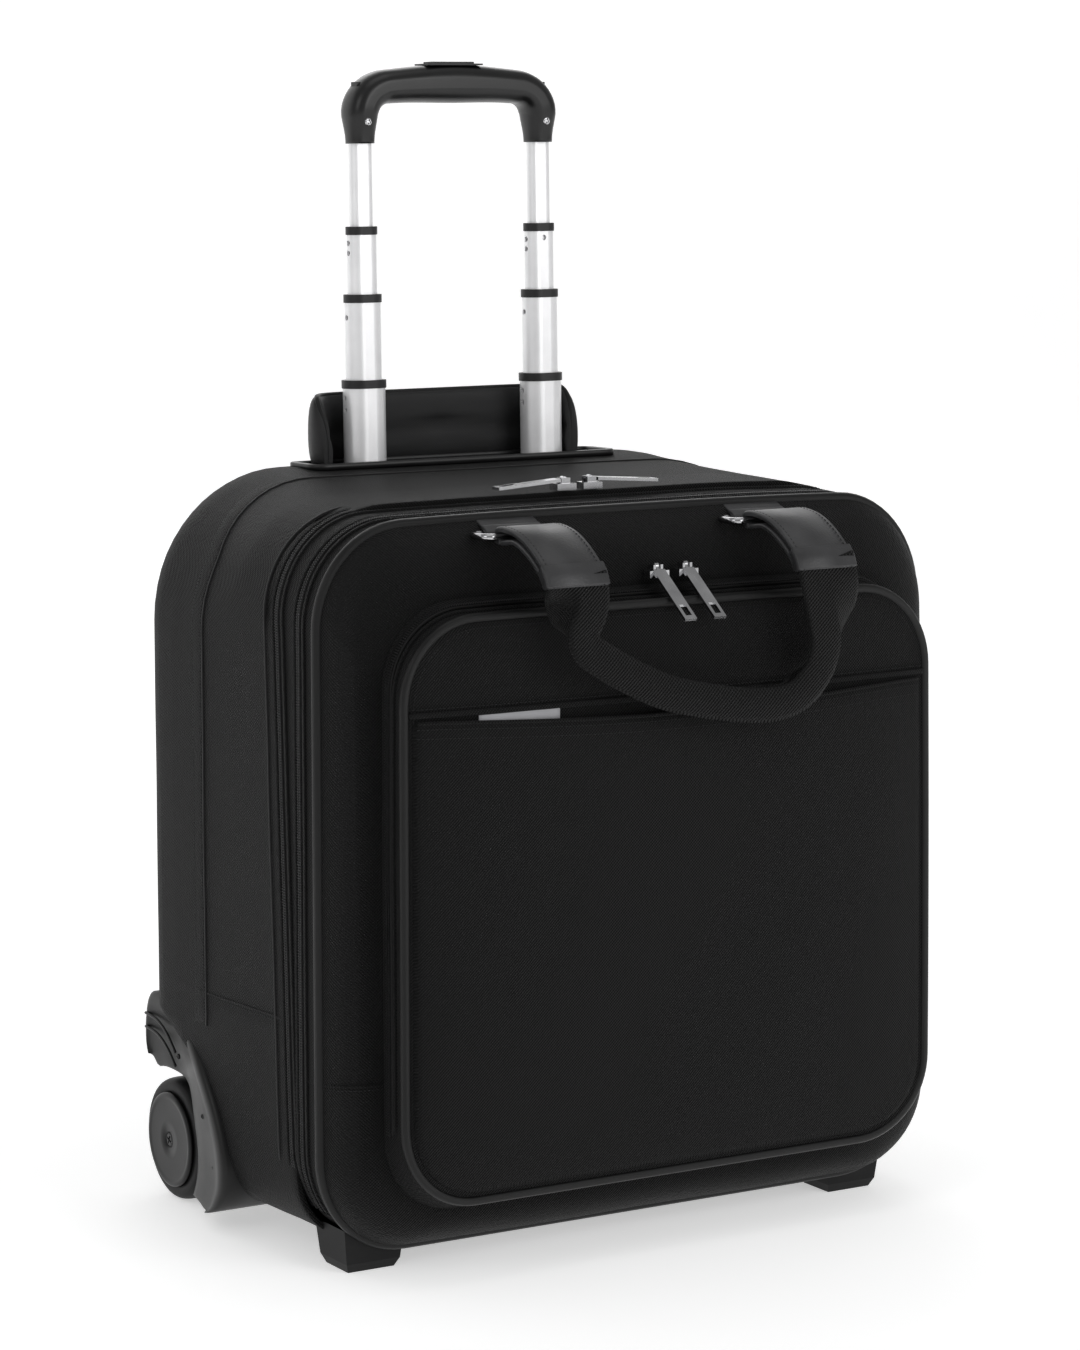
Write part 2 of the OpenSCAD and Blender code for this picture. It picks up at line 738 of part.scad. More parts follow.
module foot_screws() {
    color(silver) for (s = [-1, 1]) translate([s * foot_x, back(foot_back), 5]) {
        translate([0, 0, -2.4]) cylinder(2.4, r = 2 * screw_r);
        cylinder(foot_h - 5, r = screw_r);
    }
}

// ---- Zips, expander band and front section ----

module main_zip() {
    color(moulded) intersection() {
        difference() {
            outline_frame(main_zip_back, main_zip_back + 45, coil_h, 0, top_at(main_zip_back + 45));
            between_slabs(main_zip_back - 2, full, main_zip_back + 47, full);
            between_slabs(rear_d[0], rear_i[0], rear_d[1], rear_i[1]);
        }
        translate([0, back(main_zip_back) + seam_gap, 0]) rotate([-main_zip_lean, 0, 0])
            translate([-case_w, 0, 0]) cube([2 * case_w, coil_w, 2 * case_h]);
    }
}

gusset_t = 1.5;
gusset_in = wall + 3;
band_front = front_rim + seam_gap;
// The strip between the zips, with the folded gusset that shows when the front is let out.
module expander_band() {
    color(fabric) difference() {
        union() {
            difference() {
                stand(band_front, main_zip_back + 45)
                    round_rect(case_w, bottom_z, top_at(band_front), corner_r);
                stand(band_front - 1, main_zip_back + 46)
                    round_rect(case_w - 2 * wall, bottom_z, top_at(band_front) - wall,
                        corner_r - wall);
                behind_main_zip(0);
            }
            difference() {
                stand(0, band_front + 6)
                    round_rect(case_w - 2 * gusset_in, bottom_z + gusset_in, front_top - gusset_in,
                        corner_r - gusset_in);
                stand(-1, band_front + 7)
                    round_rect(case_w - 2 * gusset_in - 2 * gusset_t, bottom_z + gusset_in + gusset_t,
                        front_top - gusset_in - gusset_t, corner_r - gusset_in - gusset_t);
            }
            difference() {
                stand(band_front, band_front + 6)
                    round_rect(case_w - 2, bottom_z, front_top - 1, corner_r - 1);
                stand(band_front - 1, band_front + 7)
                    round_rect(case_w - 2 * gusset_in - 1, bottom_z + gusset_in, front_top - gusset_in - 0.5,
                        corner_r - gusset_in);
            }
        }
        translate([-case_w, back(-60), -20])
            cube([2 * case_w, 2 * case_d, zip_end + 20 + seam_gap]);
    }
}
module expander_zip() {
    color(moulded)
        outline_frame(band_front, band_front + coil_w - 1, coil_h, 0, top_at(band_front));
}

front_d = [0, -dome_out * 0.22, -dome_out * 0.78, -dome_out];
front_i = [full, [4, 8, 4, corner_r - 4, corner_r - 4], [12, 27, 10, corner_r - 8, corner_r - 8],
    [pocket_inset - 1, pocket_drop - 3, pocket_rise - 2, pocket_r, pocket_r]];
module front_shell() {
    color(fabric) difference() {
        union() {
            stand(-skin, front_rim) round_rect(case_w, bottom_z, front_top, corner_r);
            for (k = [0:2])
                between_slabs(front_d[k] - skin, front_i[k], front_d[k + 1], front_i[k + 1]);
        }
        stand(-1, front_rim + 1)
            round_rect(case_w - 2 * wall, bottom_z + wall, front_top - wall, corner_r - wall);
        for (k = [0:2])
            between_slabs(front_d[k] + wall, grow(front_i[k], wall),
                front_d[k + 1] + wall, grow(front_i[k + 1], wall));
        translate([-case_w, back(0.5), -20]) cube([2 * case_w, case_d, zip_end + 20 + seam_gap]);
    }
}

// The cord piping round the front seam.
module piping_ring(w, z0, z1, r, d) {
    for (x = [-1, 1]) translate([x * w / 2, back(d), z0 + r]) cylinder(z1 - z0 - 2 * r, r = piping_r);
    for (z = [z0, z1]) translate([r - w / 2, back(d), z]) rotate([0, 90, 0])
        cylinder(w - 2 * r, r = piping_r);
    for (x = [-1, 1], z = [-1, 1])
        translate([x * (w / 2 - r), back(d), z > 0 ? z1 - r : z0 + r])
            mirror([x < 0 ? 1 : 0, 0, 0]) mirror([0, 0, z < 0 ? 1 : 0]) rotate([90, 0, 0])
                rotate_extrude(angle = 90) translate([r, 0]) circle(piping_r, $fn = 24);
}
module front_piping() {
    color(fabric) difference() {
        front_cord();
        for (k = [0:1])
            between_slabs(front_d[k] - skin, front_i[k], front_d[k + 1], front_i[k + 1]);
        stand(0, 30) round_rect(case_w, bottom_z, front_top, corner_r);
    }
}
module front_cord() {
    piping_ring(case_w - 2 * piping_r, bottom_z + piping_r, front_top - piping_r,
        corner_r - piping_r, -1.5);
}

pocket_front = -pocket_out;
pocket_i = [pocket_inset, pocket_drop, pocket_rise, pocket_r, pocket_r];
pocket_root = -dome_out - clear;
module pocket_shell() {
    color(fabric) difference() {
        union() {
            between_slabs(pocket_root - skin, pocket_i, pocket_front + 8, grow(pocket_i, 2));
            between_slabs(pocket_front + 8, grow(pocket_i, 2), pocket_front, grow(pocket_i, 8));
        }
        between_slabs(pocket_root + 2, grow(pocket_i, wall),
            pocket_front + wall, grow(pocket_i, wall + 7));
    }
}

slip_front = pocket_front - slip_gap - slip_t;
slit_z = bottom_z + slit_h;
// The lower face panel, which stands off the pocket and is open along its top edge.
module slip_panel() {
    rim = pocket_front - 0.05;
    color(fabric) difference() {
        between_slabs(rim - skin, grow(pocket_i, 8), slip_front, grow(pocket_i, 12));
        between_slabs(rim + 1, grow(pocket_i, 11), slip_front + slip_t, grow(pocket_i, 15));
        translate([-case_w, back(slip_front - 5), slit_z]) cube([2 * case_w, 40, case_h]);
    }
}

module pocket_zip() {
    e = 2.5;
    d = pocket_root - 8;
    color(moulded) difference() {
        stand(d, d + coil_w)
            round_rect(case_w - 2 * pocket_inset + 2 * e, bottom_z, top_at(0) - pocket_drop + e,
                pocket_r + e);
        between_slabs(d - 1, grow(pocket_i, -1), d + coil_w + 1, grow(pocket_i, -1));
        translate([-case_w, back(d - 1), -10])
            cube([2 * case_w, coil_w + 2, bottom_z + pocket_rise + 60]);
    }
}

// ---- Carry handle ----

ring_r = ring_wire / 2;
ring_bar = -12;
ring_z = front_top - 9;
bar_span = ring_depth - ring_wire;
// A rectangular wire loop lying flat; its rear bar is the hinge.
module wire_ring() {
    rc = 4;
    w = ring_w - ring_wire;
    for (y = [0, -bar_span]) translate([rc - w / 2, y, 0]) rotate([0, 90, 0])
        cylinder(w - 2 * rc, r = ring_r, $fn = 24);
    for (x = [-1, 1]) translate([x * w / 2, -bar_span + rc, 0]) rotate([-90, 0, 0])
        cylinder(bar_span - 2 * rc, r = ring_r, $fn = 24);
    for (x = [-1, 1], y = [0, 1]) translate([x * (w / 2 - rc), y > 0 ? -rc : rc - bar_span, 0])
        mirror([x < 0 ? 1 : 0, 0, 0]) mirror([0, y > 0 ? 0 : 1, 0])
            rotate_extrude(angle = 90) translate([rc, 0]) circle(ring_r, $fn = 24);
}
module at_rings() {
    for (s = [-1, 1]) translate([s * ring_x, back(ring_bar), ring_z]) children();
}
module handle_rings() {
    color(silver) at_rings() wire_ring();
}
anchor_t = 1.5;
loop_r = ring_r + clear + anchor_t;
module handle_anchors() {
    color(soft_touch) difference() {
        at_rings() rotate([0, 90, 0]) translate([0, 0, -strap_w / 2]) difference() {
            union() {
                cylinder(strap_w, r = loop_r);
                translate([-loop_r, 0, 0]) cube([anchor_t + 1, -ring_bar + 1, strap_w]);
                translate([loop_r - anchor_t, 0, 0]) cube([anchor_t, -ring_bar + 1, strap_w]);
            }
            translate([0, 0, -1]) cylinder(strap_w + 2, r = ring_r + clear);
        }
        stand(0, 30) square([2 * case_w, 4 * case_h], center = true);
        for (k = [0:1])
            between_slabs(front_d[k] - skin, front_i[k], front_d[k + 1], front_i[k + 1]);
        front_cord();
    }
}

tab_t = 5;
tab_w = strap_w + 2;
tab_end = back(-strap_reach) + strap_t;
knee_z = ring_z - 24;
// A tab folded over the ring's front bar, reaching forward and down to the webbing.
module handle_tabs() {
    y0 = back(ring_bar) - bar_span;
    color(soft_touch) for (s = [-1, 1]) translate([s * ring_x - tab_w / 2, 0, 0])
        rotate([90, 0, 90]) difference() {
            linear_extrude(tab_w) union() {
                translate([y0, ring_z]) circle(ring_r + tab_t / 2);
                polygon([
                    [y0, ring_z + ring_r + tab_t / 2], [y0 - 22, ring_z + 2],
                    [tab_end - strap_t, knee_z + 8], [tab_end - strap_t, knee_z],
                    [tab_end, knee_z], [tab_end + 1, knee_z + 2], [y0 - 20, ring_z - 6],
                    [y0, ring_z - ring_r - tab_t / 2]
                ]);
            }
            translate([y0, ring_z, -1]) cylinder(tab_w + 2, r = ring_r + 0.08);
        }
}

strap_low = ring_z - strap_drop;
leg_in = ring_x - strap_w / 2;
leg_out = ring_x + strap_w / 2;
// The webbing hangs from the tabs and is folded narrow along its grip.
module handle_webbing() {
    color(fabric) stand(-strap_reach, -strap_reach + strap_t) difference() {
        polygon([
            [-leg_out, knee_z], [-leg_out + 4, knee_z - 22], [-leg_out + 12, strap_low + 46],
            [-leg_out + 36, strap_low + 19], [-36, strap_low + 8], [0, strap_low + 3],
            [30, strap_low], [52, strap_low + 2], [70, strap_low + 8], [88, strap_low + 24],
            [leg_out - 4, strap_low + 48], [leg_out, strap_low + 66], [leg_out, knee_z]
        ]);
        polygon([
            [-leg_in - 1, knee_z + 5], [-leg_in, knee_z - 12], [-leg_in - 8, strap_low + 56],
            [-leg_in + 4, strap_low + 41], [-36, strap_low + 28], [0, strap_low + 23],
            [34, strap_low + 18], [56, strap_low + 18], [leg_in + 1, strap_low + 32],
            [leg_in + 2, strap_low + 60], [leg_in + 2, knee_z + 5]
        ]);
    }
}

// ---- Zip sliders and pulls ----

slider_l = 13;
slider_w = 9;
slider_t = 4;
main_gap = 8;
main_slide_back = zip_back(front_top) + seam_gap + coil_w / 2;
main_slide_z = top_at(main_zip_back + 45) + coil_h + 1;
main_slide_x = [-14, 4];
module slider_body() {
    translate([-slider_l / 2, -slider_w / 2, 0]) cube([slider_l, slider_w, slider_t]);
    for (y = [-1, 1]) translate([-3, y * 2.4 - 0.8, slider_t - 0.1]) cube([6, 1.6, 3.4]);
    translate([0, 3.2, slider_t + 2.2]) rotate([90, 0, 0]) cylinder(6.4, r = 0.8);
}
// A flat pull with an eye round the slider's pin and a window near its tip.
module pull_body() {
    difference() {
        union() {
            rotate([90, 0, 0]) translate([0, 0, -1.3]) cylinder(2.6, r = 1.9);
            translate([0, -1.3, -pull_t / 2]) cube([4, 2.6, pull_t]);
            translate([3.9, -pull_w / 2, -pull_t / 2]) cube([pull_len - 3.9, pull_w, pull_t]);
        }
        rotate([90, 0, 0]) translate([0, 0, -2]) cylinder(4, r = 0.88);
        translate([pull_len - 12, -pull_w / 2 + 2, -5]) cube([9, pull_w - 4, 10]);
    }
}
pin_z = slider_t + 2.2;
module on_main_zip(x) {
    translate([x, back(main_slide_back), main_slide_z]) children();
}
module main_slider_left() { color(silver) on_main_zip(main_slide_x[0]) slider_body(); }
module main_slider_right() { color(silver) on_main_zip(main_slide_x[1]) slider_body(); }
main_pull_drop = 4;
module main_pull_left() {
    color(silver) on_main_zip(main_slide_x[0]) translate([0, 0, pin_z])
        rotate([0, 0, 180]) rotate([0, main_pull_drop, 0]) pull_body();
}
module main_pull_right() {
    color(silver) on_main_zip(main_slide_x[1]) translate([0, 0, pin_z])
        rotate([0, main_pull_drop, 0]) pull_body();
}

pocket_slide_x = [0, 20];
pocket_slide_back = pocket_root - 5;
pocket_slide_z = top_at(0) - pocket_drop + 4.5;
pocket_hang = 36;
module on_pocket_zip(x) {
    translate([x, back(pocket_slide_back), pocket_slide_z]) children();
}
module pocket_slider(x) {
    color(silver) on_pocket_zip(x) {
        difference() {
            union() {
                translate([-slider_l / 2, -slider_w / 2, 0]) cube([slider_l, slider_w, slider_t]);
                for (dx = [-1, 1])
                    translate([dx * 2.4 - 0.8, -3, slider_t - 0.1]) cube([1.6, 6, 3.4]);
            }
            hanging_pull_room();
        }
        translate([-3.2, 0, pin_z]) rotate([0, 90, 0]) cylinder(6.4, r = 0.8);
    }
}
pull_gap = 0.1;
// The room that a pull takes in its slider where it hangs down over the front edge.
module hanging_pull_room() {
    low = -pull_t / 2 - pull_gap;
    translate([0, 0, pin_z]) rotate([pocket_hang, 0, 0]) {
        translate([-pull_w / 2 - pull_gap, -20, low]) cube([pull_w + 2 * pull_gap, 20 - 3.7, 8]);
        translate([-1.4, -4, low]) cube([2.8, 3, 3]);
    }
}
module pocket_pull(x) {
    color(silver) on_pocket_zip(x) translate([0, 0, pin_z]) rotate([pocket_hang, 0, 0])
        rotate([0, 0, -90]) pull_body();
}
module pocket_slider_left() { pocket_slider(pocket_slide_x[0]); }
module pocket_slider_right() { pocket_slider(pocket_slide_x[1]); }
module pocket_pull_left() { pocket_pull(pocket_slide_x[0]); }
module pocket_pull_right() { pocket_pull(pocket_slide_x[1]); }

rear_shell();
bottom_panel();
back_board();
laptop_sleeve();
sleeve_strap();
bay_cup();
handle_flap();
outer_tubes();
outer_collars();
tube_bracket();
bracket_screws();
wheel_housing_left();
wheel_housing_right();
axles();
foot_left();
foot_right();
foot_screws();
main_zip();
stage_tubes(1);  // stage_1_tubes
stage_bushes(1);  // stage_1_bushes
stage_tubes(2);  // stage_2_tubes
stage_bushes(2);  // stage_2_bushes
stage_tubes(3);  // stage_3_tubes
stage_bushes(3);  // stage_3_bushes
stage_tubes(4);  // stage_4_tubes
stage_bushes(4);  // stage_4_bushes
grip_upper();
grip_lower();
button_bezel();
grip_screws();
push_button();
release_yoke();
button_spring();
tyre_left();
hub_left();
hub_cap_left();
bearings_left();
tyre_right();
hub_right();
hub_cap_right();
bearings_right();
expander_band();
expander_zip();
front_shell();
front_piping();
pocket_shell();
slip_panel();
pocket_zip();
handle_anchors();
handle_rings();
handle_tabs();
handle_webbing();
main_slider_left();
main_pull_left();
main_slider_right();
main_pull_right();
pocket_slider_left();
pocket_pull_left();
pocket_slider_right();
pocket_pull_right();
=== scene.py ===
import math
import bmesh
import bpy
from mathutils import Matrix, Vector, noise


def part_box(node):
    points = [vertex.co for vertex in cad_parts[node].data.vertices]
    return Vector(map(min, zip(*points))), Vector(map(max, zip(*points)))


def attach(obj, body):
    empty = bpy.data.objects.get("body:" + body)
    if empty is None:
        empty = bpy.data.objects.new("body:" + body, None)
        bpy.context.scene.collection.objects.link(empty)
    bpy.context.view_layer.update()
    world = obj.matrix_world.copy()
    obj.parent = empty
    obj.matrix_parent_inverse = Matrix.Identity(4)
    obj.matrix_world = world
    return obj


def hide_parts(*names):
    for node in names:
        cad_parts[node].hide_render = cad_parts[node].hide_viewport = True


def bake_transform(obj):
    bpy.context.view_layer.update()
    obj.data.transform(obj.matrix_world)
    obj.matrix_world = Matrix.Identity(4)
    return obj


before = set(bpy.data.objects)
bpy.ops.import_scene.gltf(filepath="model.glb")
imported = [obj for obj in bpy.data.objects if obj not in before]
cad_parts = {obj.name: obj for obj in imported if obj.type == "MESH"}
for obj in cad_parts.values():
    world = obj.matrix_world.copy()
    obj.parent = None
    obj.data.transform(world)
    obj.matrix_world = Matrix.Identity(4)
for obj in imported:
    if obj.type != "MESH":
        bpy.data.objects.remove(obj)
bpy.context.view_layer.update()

# ---------------------------------------------------------------------------
# Studio: a pale floor that runs into a pale backdrop, two large soft lights in
# front, one above and one behind, and a camera at the height of the case's top.
# ---------------------------------------------------------------------------
scene = bpy.context.scene
lens = bpy.data.cameras.new("camera")
lens.sensor_fit = "VERTICAL"
lens.sensor_height = 36.0
lens.lens = 109.82
lens.clip_end = 50.0
camera = bpy.data.objects.new("camera", lens)
camera.location = (-1.2751, -2.0838, 0.6754)
camera.rotation_euler = (math.radians(90 - 8.184), 0.0, math.radians(-31.233))
scene.collection.objects.link(camera)
scene.camera = camera
scene.view_settings.view_transform = "Standard"


def soft_light(name, power, size, where, aim):
    lamp = bpy.data.lights.new(name, "AREA")
    lamp.energy = power
    lamp.shape = "RECTANGLE"
    lamp.size, lamp.size_y = size
    holder = bpy.data.objects.new(name, lamp)
    holder.location = where
    holder.rotation_euler = (Vector(aim) - Vector(where)).to_track_quat("-Z", "Y").to_euler()
    scene.collection.objects.link(holder)


soft_light("key", 8.5, (1.2, 1.6), (-2.3, -0.9, 1.7), (0, 0, 0.25))
soft_light("fill", 26, (1.6, 1.6), (0.9, -2.6, 1.3), (0, 0, 0.3))
soft_light("top", 3, (1.2, 0.9), (0.0, -0.2, 2.2), (0, 0, 0.2))
soft_light("rim", 7, (1.6, 1.2), (0.9, 2.2, 1.6), (0, 0, 0.4))

world = bpy.data.worlds.new("studio")
world.use_nodes = True
sky = world.node_tree
seen_directly = sky.nodes.new("ShaderNodeLightPath")
strength = sky.nodes.new("ShaderNodeMapRange")
strength.inputs["To Min"].default_value = 0.38
strength.inputs["To Max"].default_value = 1.0
sky.links.new(seen_directly.outputs["Is Camera Ray"], strength.inputs["Value"])
sky.links.new(strength.outputs["Result"], sky.nodes["Background"].inputs["Strength"])
sky.nodes["Background"].inputs["Color"].default_value = (1, 1, 1, 1)
scene.world = world


def new_object(name, verts, faces, smooth=True):
    mesh = bpy.data.meshes.new(name)
    mesh.from_pydata([tuple(v) for v in verts], [], faces)
    mesh.update()
    mesh.polygons.foreach_set("use_smooth", [smooth] * len(mesh.polygons))
    made = bpy.data.objects.new(name, mesh)
    scene.collection.objects.link(made)
    return made


# The floor sweeps up behind the case into a backdrop.
sweep_steps = 12
profile = [(-6.0, 0.0), (3.0, 0.0)]
profile += [(3.0 + math.sin(math.pi / 2 * k / sweep_steps),
             1.0 - math.cos(math.pi / 2 * k / sweep_steps)) for k in range(1, sweep_steps + 1)]
profile += [(4.0, 5.0)]
floor_verts = [(x, y, z) for y, z in profile for x in (-8.0, 8.0)]
floor_faces = [(2 * k, 2 * k + 1, 2 * k + 3, 2 * k + 2) for k in range(len(profile) - 1)]
floor = new_object("floor", floor_verts, floor_faces)
paper = bpy.data.materials.new("paper")
paper.use_nodes = True
paper_bsdf = paper.node_tree.nodes["Principled BSDF"]
paper_bsdf.inputs["Roughness"].default_value = 0.9
paper_bsdf.inputs["Base Color"].default_value = (0.9, 0.9, 0.9, 1)
paper_bsdf.inputs["Emission Color"].default_value = (1, 1, 1, 1)
paper_bsdf.inputs["Emission Strength"].default_value = 0.47
floor.data.materials.append(paper)

# ---------------------------------------------------------------------------
# Case tray: the rear half, one shell of coated nylon twill over foam, with a
# rounded outline that tapers in to the rear face. It is sewn from a side strip
# and a rear panel, and lined with grey cloth.
# ---------------------------------------------------------------------------
seam_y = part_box("front_piping")[1][1]
mm = 0.001


def place(x, back, z):
    """Millimetres across, back from the front seam and up, to the frame."""
    return Vector((x * mm, seam_y + back * mm, z * mm))


def cloth(x, back, z):
    """The same, where the soft case slumps: its front corners droop and its lower right side bulges."""
    near = 1.0 - min(1.0, max(0.0, (back - 20.0) / 150.0)) ** 2
    reach = min(1.0, abs(x) / 210.0) ** 3
    if x > 0:
        x += near * reach * (3.0 - 8.0 * min(1.0, max(0.0, (z - 57.0) / 345.0)) ** 1.6)
        z -= near * reach * 4.0 * min(1.0, max(0.0, (z - 250.0) / 180.0))
    else:
        x += near * reach * 5.5
        z -= near * reach * 3.0 * min(1.0, max(0.0, (z - 250.0) / 180.0))
    return Vector((x * mm, seam_y + back * mm, z * mm))


case_half = 210.0
case_low = 14.0
front_top = 432.0
case_deep = 216.0
top_rise = 13.0


def top_at(back):
    return front_top + top_rise * min(1.0, max(0.0, back) / (case_deep - 18.0))


def outline(half, low, high, r_top, r_low, side=22, corner=14):
    """Points (x, z) and outward normals round an outline with round corners, from the middle of its foot."""
    corners = [((half - r_low, low + r_low), r_low, -90), ((half - r_top, high - r_top), r_top, 0),
               ((r_top - half, high - r_top), r_top, 90), ((r_low - half, low + r_low), r_low, 180)]
    ends = []
    for (cx, cz), r, turn in corners:
        arc = []
        for k in range(corner + 1):
            a = math.radians(turn + 90 * k / corner)
            arc.append((cx + r * math.cos(a), cz + r * math.sin(a), math.cos(a), math.sin(a)))
        ends.append(arc)
    points = []
    previous = ends[3][-1]
    start = (0.0, low, 0.0, -1.0)
    for i, arc in enumerate(ends):
        head = start if i == 0 else ends[i - 1][-1]
        steps = side // 2 if i == 0 else side
        for k in range(steps):
            t = k / steps
            if i > 0 and k == 0:
                continue
            n = arc[0][2:]
            points.append((head[0] + (arc[0][0] - head[0]) * t, head[1] + (arc[0][1] - head[1]) * t) + n)
        points += arc
    for k in range(1, side // 2):
        t = k / (side // 2)
        points.append((previous[0] * (1 - t), previous[1], 0.0, -1.0))
    return points


def ease(t):
    t = min(1.0, max(0.0, t))
    return t * t * (3 - 2 * t)


def quarter(t):
    t = min(1.0, max(0.0, t))
    return 1.0 - math.sqrt(max(0.0, 1.0 - t * t))


def crumple(p, coarse=0.5, fine=0.12):
    """Millimetres by which cloth at a point stands in or out: slow waves and small ripples."""
    return (coarse * noise.noise(Vector((p.x * 13, p.y * 17, p.z * 10)))
            + fine * noise.noise(Vector((p.x * 55, p.y * 60, p.z * 34))))


def loft(name, rings, close_ends=(False, False)):
    """Joins rings of points of one count, each closed; an end may be closed with a flat face."""
    n = len(rings[0])
    verts = [v for ring in rings for v in ring]
    faces = []
    for i in range(len(rings) - 1):
        for j in range(n):
            k = (j + 1) % n
            faces.append((i * n + j, i * n + k, (i + 1) * n + k, (i + 1) * n + j))
    if close_ends[0]:
        faces.append(tuple(reversed(range(n))))
    if close_ends[1]:
        faces.append(tuple((len(rings) - 1) * n + j for j in range(n)))
    return new_object(name, verts, faces)


def outward(made):
    """Merges doubles and turns every face outwards."""
    work = bmesh.new()
    work.from_mesh(made.data)
    bmesh.ops.remove_doubles(work, verts=work.verts, dist=1e-6)
    bmesh.ops.recalc_face_normals(work, faces=work.faces)
    work.to_mesh(made.data)
    work.free()
    return made


def bake_modifiers(made):
    """Replaces an object's mesh with its evaluated one and drops its modifiers."""
    bpy.context.view_layer.update()
    graph = bpy.context.evaluated_depsgraph_get()
    mesh = bpy.data.meshes.new_from_object(made.evaluated_get(graph))
    made.modifiers.clear()
    made.data = mesh
    return made


def thicken(made, wall, lining_slot=1):
    shell = made.modifiers.new("wall", "SOLIDIFY")
    shell.thickness = wall
    shell.offset = -1.0
    shell.material_offset = lining_slot
    shell.material_offset_rim = 0
    return bake_modifiers(made)


def tray_insets(back):
    """Side, top and foot insets and the two corner radii of the tray at one distance back."""
    side = 27.0 * quarter((back - 184.0) / 32.2)
    top = 7.0 * quarter((back - 206.0) / 10.1)
    foot = 31.0 * quarter((back - 176.0) / 40.2)
    r_top = 58.0 + 32.0 * ease((back - 30.0) / 150.0) - 14.0 * quarter((back - 176.0) / 40.2)
    r_low = 58.0 - 18.0 * ease((back - 26.0) / 80.0)
    return side, top, foot, r_top, r_low


def zip_plane(z):
    return 25.6 + z * math.tan(math.radians(2.2))


def tray_ring(back, lead=None):
    """One ring of the tray; a lead ring follows the leaning line of the main zip."""
    side, top, foot, r_top, r_low = tray_insets(back)
    ring = []
    for x, z, nx, nz in outline(case_half - side, case_low + foot, top_at(back) - top, r_top, r_low):
        at = back
        if lead is not None:
            at = zip_plane(z) + (back - zip_plane(z)) * lead
        p = cloth(x, at, z)
        swell = 1.2 * math.sin(math.pi * min(1.0, max(0.0, (at - 60) / 110.0))) * abs(nx)
        swell += crumple(p) - 0.5
        ring.append(p + Vector((nx, 0, nz)) * swell * mm)
    return ring


tray_rings = [tray_ring(100.0, k / 8) for k in range(9)]
tray_rings += [tray_ring(b) for b in (108, 116, 124, 132, 140, 148, 156, 163, 170, 176, 182, 187, 192, 196,
                                      200, 204, 207, 210, 212.5, 214.5, 215.6, 216.0)]
last = tray_insets(216.0)
for k in range(1, 12):
    pull = k / 12
    ring = []
    for x, z, nx, nz in outline((case_half - last[0]) * (1 - pull), case_low + last[2] + 190 * pull,
                                top_at(216) - last[1] - 190 * pull, last[3] * (1 - pull), last[4] * (1 - pull)):
        p = cloth(x, 216.0, z)
        ring.append(p + Vector((0, (crumple(p, 0.6) - 0.3) * mm, 0)))
    tray_rings.append(ring)
tray = outward(loft("tray_fabric", tray_rings, (False, True)))
tray = thicken(tray, 3.2 * mm)


def cut_away(made, cutter):
    """Cuts a closed cutter out of a piece and removes the cutter."""
    cut = made.modifiers.new("cut", "BOOLEAN")
    cut.operation = "DIFFERENCE"
    cut.object = cutter
    cut.solver = "EXACT"
    bake_modifiers(made)
    bpy.data.objects.remove(cutter)
    return made


def prism(name, points, x0, x1):
    """A side outline of (back, z) points, extruded across the case."""
    n = len(points)
    verts = [place(x, b, z) for x in (x0, x1) for b, z in points]
    faces = [tuple(range(n)), tuple(reversed(range(n, 2 * n)))]
    faces += [(j, n + j, n + (j + 1) % n, (j + 1) % n) for j in range(n)]
    return outward(new_object(name, verts, faces, False))


lean = math.radians(1.3)
deck_z = top_at(197.0)


def trolley(x, y, z):
    """A point in the leaning trolley's own millimetres, to the frame."""
    return place(x, 197.0 + y * math.cos(lean) + z * math.sin(lean), deck_z - y * math.sin(lean) + z * math.cos(lean))


def trolley_box(name, half_w, half_d, low, high):
    verts = [trolley(x, y, z) for z in (low, high) for x, y in
             ((-half_w, -half_d), (half_w, -half_d), (half_w, half_d), (-half_w, half_d))]
    faces = [(3, 2, 1, 0), (4, 5, 6, 7)] + [(j, (j + 1) % 4, 4 + (j + 1) % 4, 4 + j) for j in range(4)]
    return outward(new_object(name, verts, faces, False))


cut_away(tray, trolley_box("cutter", 103.6, 15.0, -90.0, 30.0))
fin_cut = [(112, -20), (112, 40), (116, 56), (124, 74), (136, 88), (152, 102), (174, 114), (192, 122), (240, 122),
           (240, -20)]
cut_away(tray, prism("cutter", fin_cut, 169.0, 240.0))
cut_away(tray, prism("cutter", fin_cut, -240.0, -169.0))
cut_away(tray, prism("cutter", [(10, -20), (10, 17.7), (68, 17.7), (68, -20)], -150, 150))
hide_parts("rear_shell")
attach(tray, "case")

# ---------------------------------------------------------------------------
# Cloth finishes: coated nylon twill outside, flat grey cloth inside. The weave
# is two crossed sets of threads that follow whichever way the surface faces.
# ---------------------------------------------------------------------------


def wire(tree, a, b):
    tree.links.new(a, b)


def math_node(tree, kind, a, b=None, clamp=False):
    node = tree.nodes.new("ShaderNodeMath")
    node.operation = kind
    node.use_clamp = clamp
    for k, value in enumerate((a, b)):
        if value is None:
            continue
        if isinstance(value, (int, float)):
            node.inputs[k].default_value = value
        else:
            wire(tree, value, node.inputs[k])
    return node.outputs[0]


def start_group(name, sockets_in, sockets_out):
    group = bpy.data.node_groups.new(name, "ShaderNodeTree")
    for label, kind, value in sockets_in:
        socket = group.interface.new_socket(name=label, in_out="INPUT", socket_type=kind)
        if value is not None:
            socket.default_value = value
    for label, kind in sockets_out:
        group.interface.new_socket(name=label, in_out="OUTPUT", socket_type=kind)
    return group, group.nodes.new("NodeGroupInput"), group.nodes.new("NodeGroupOutput")


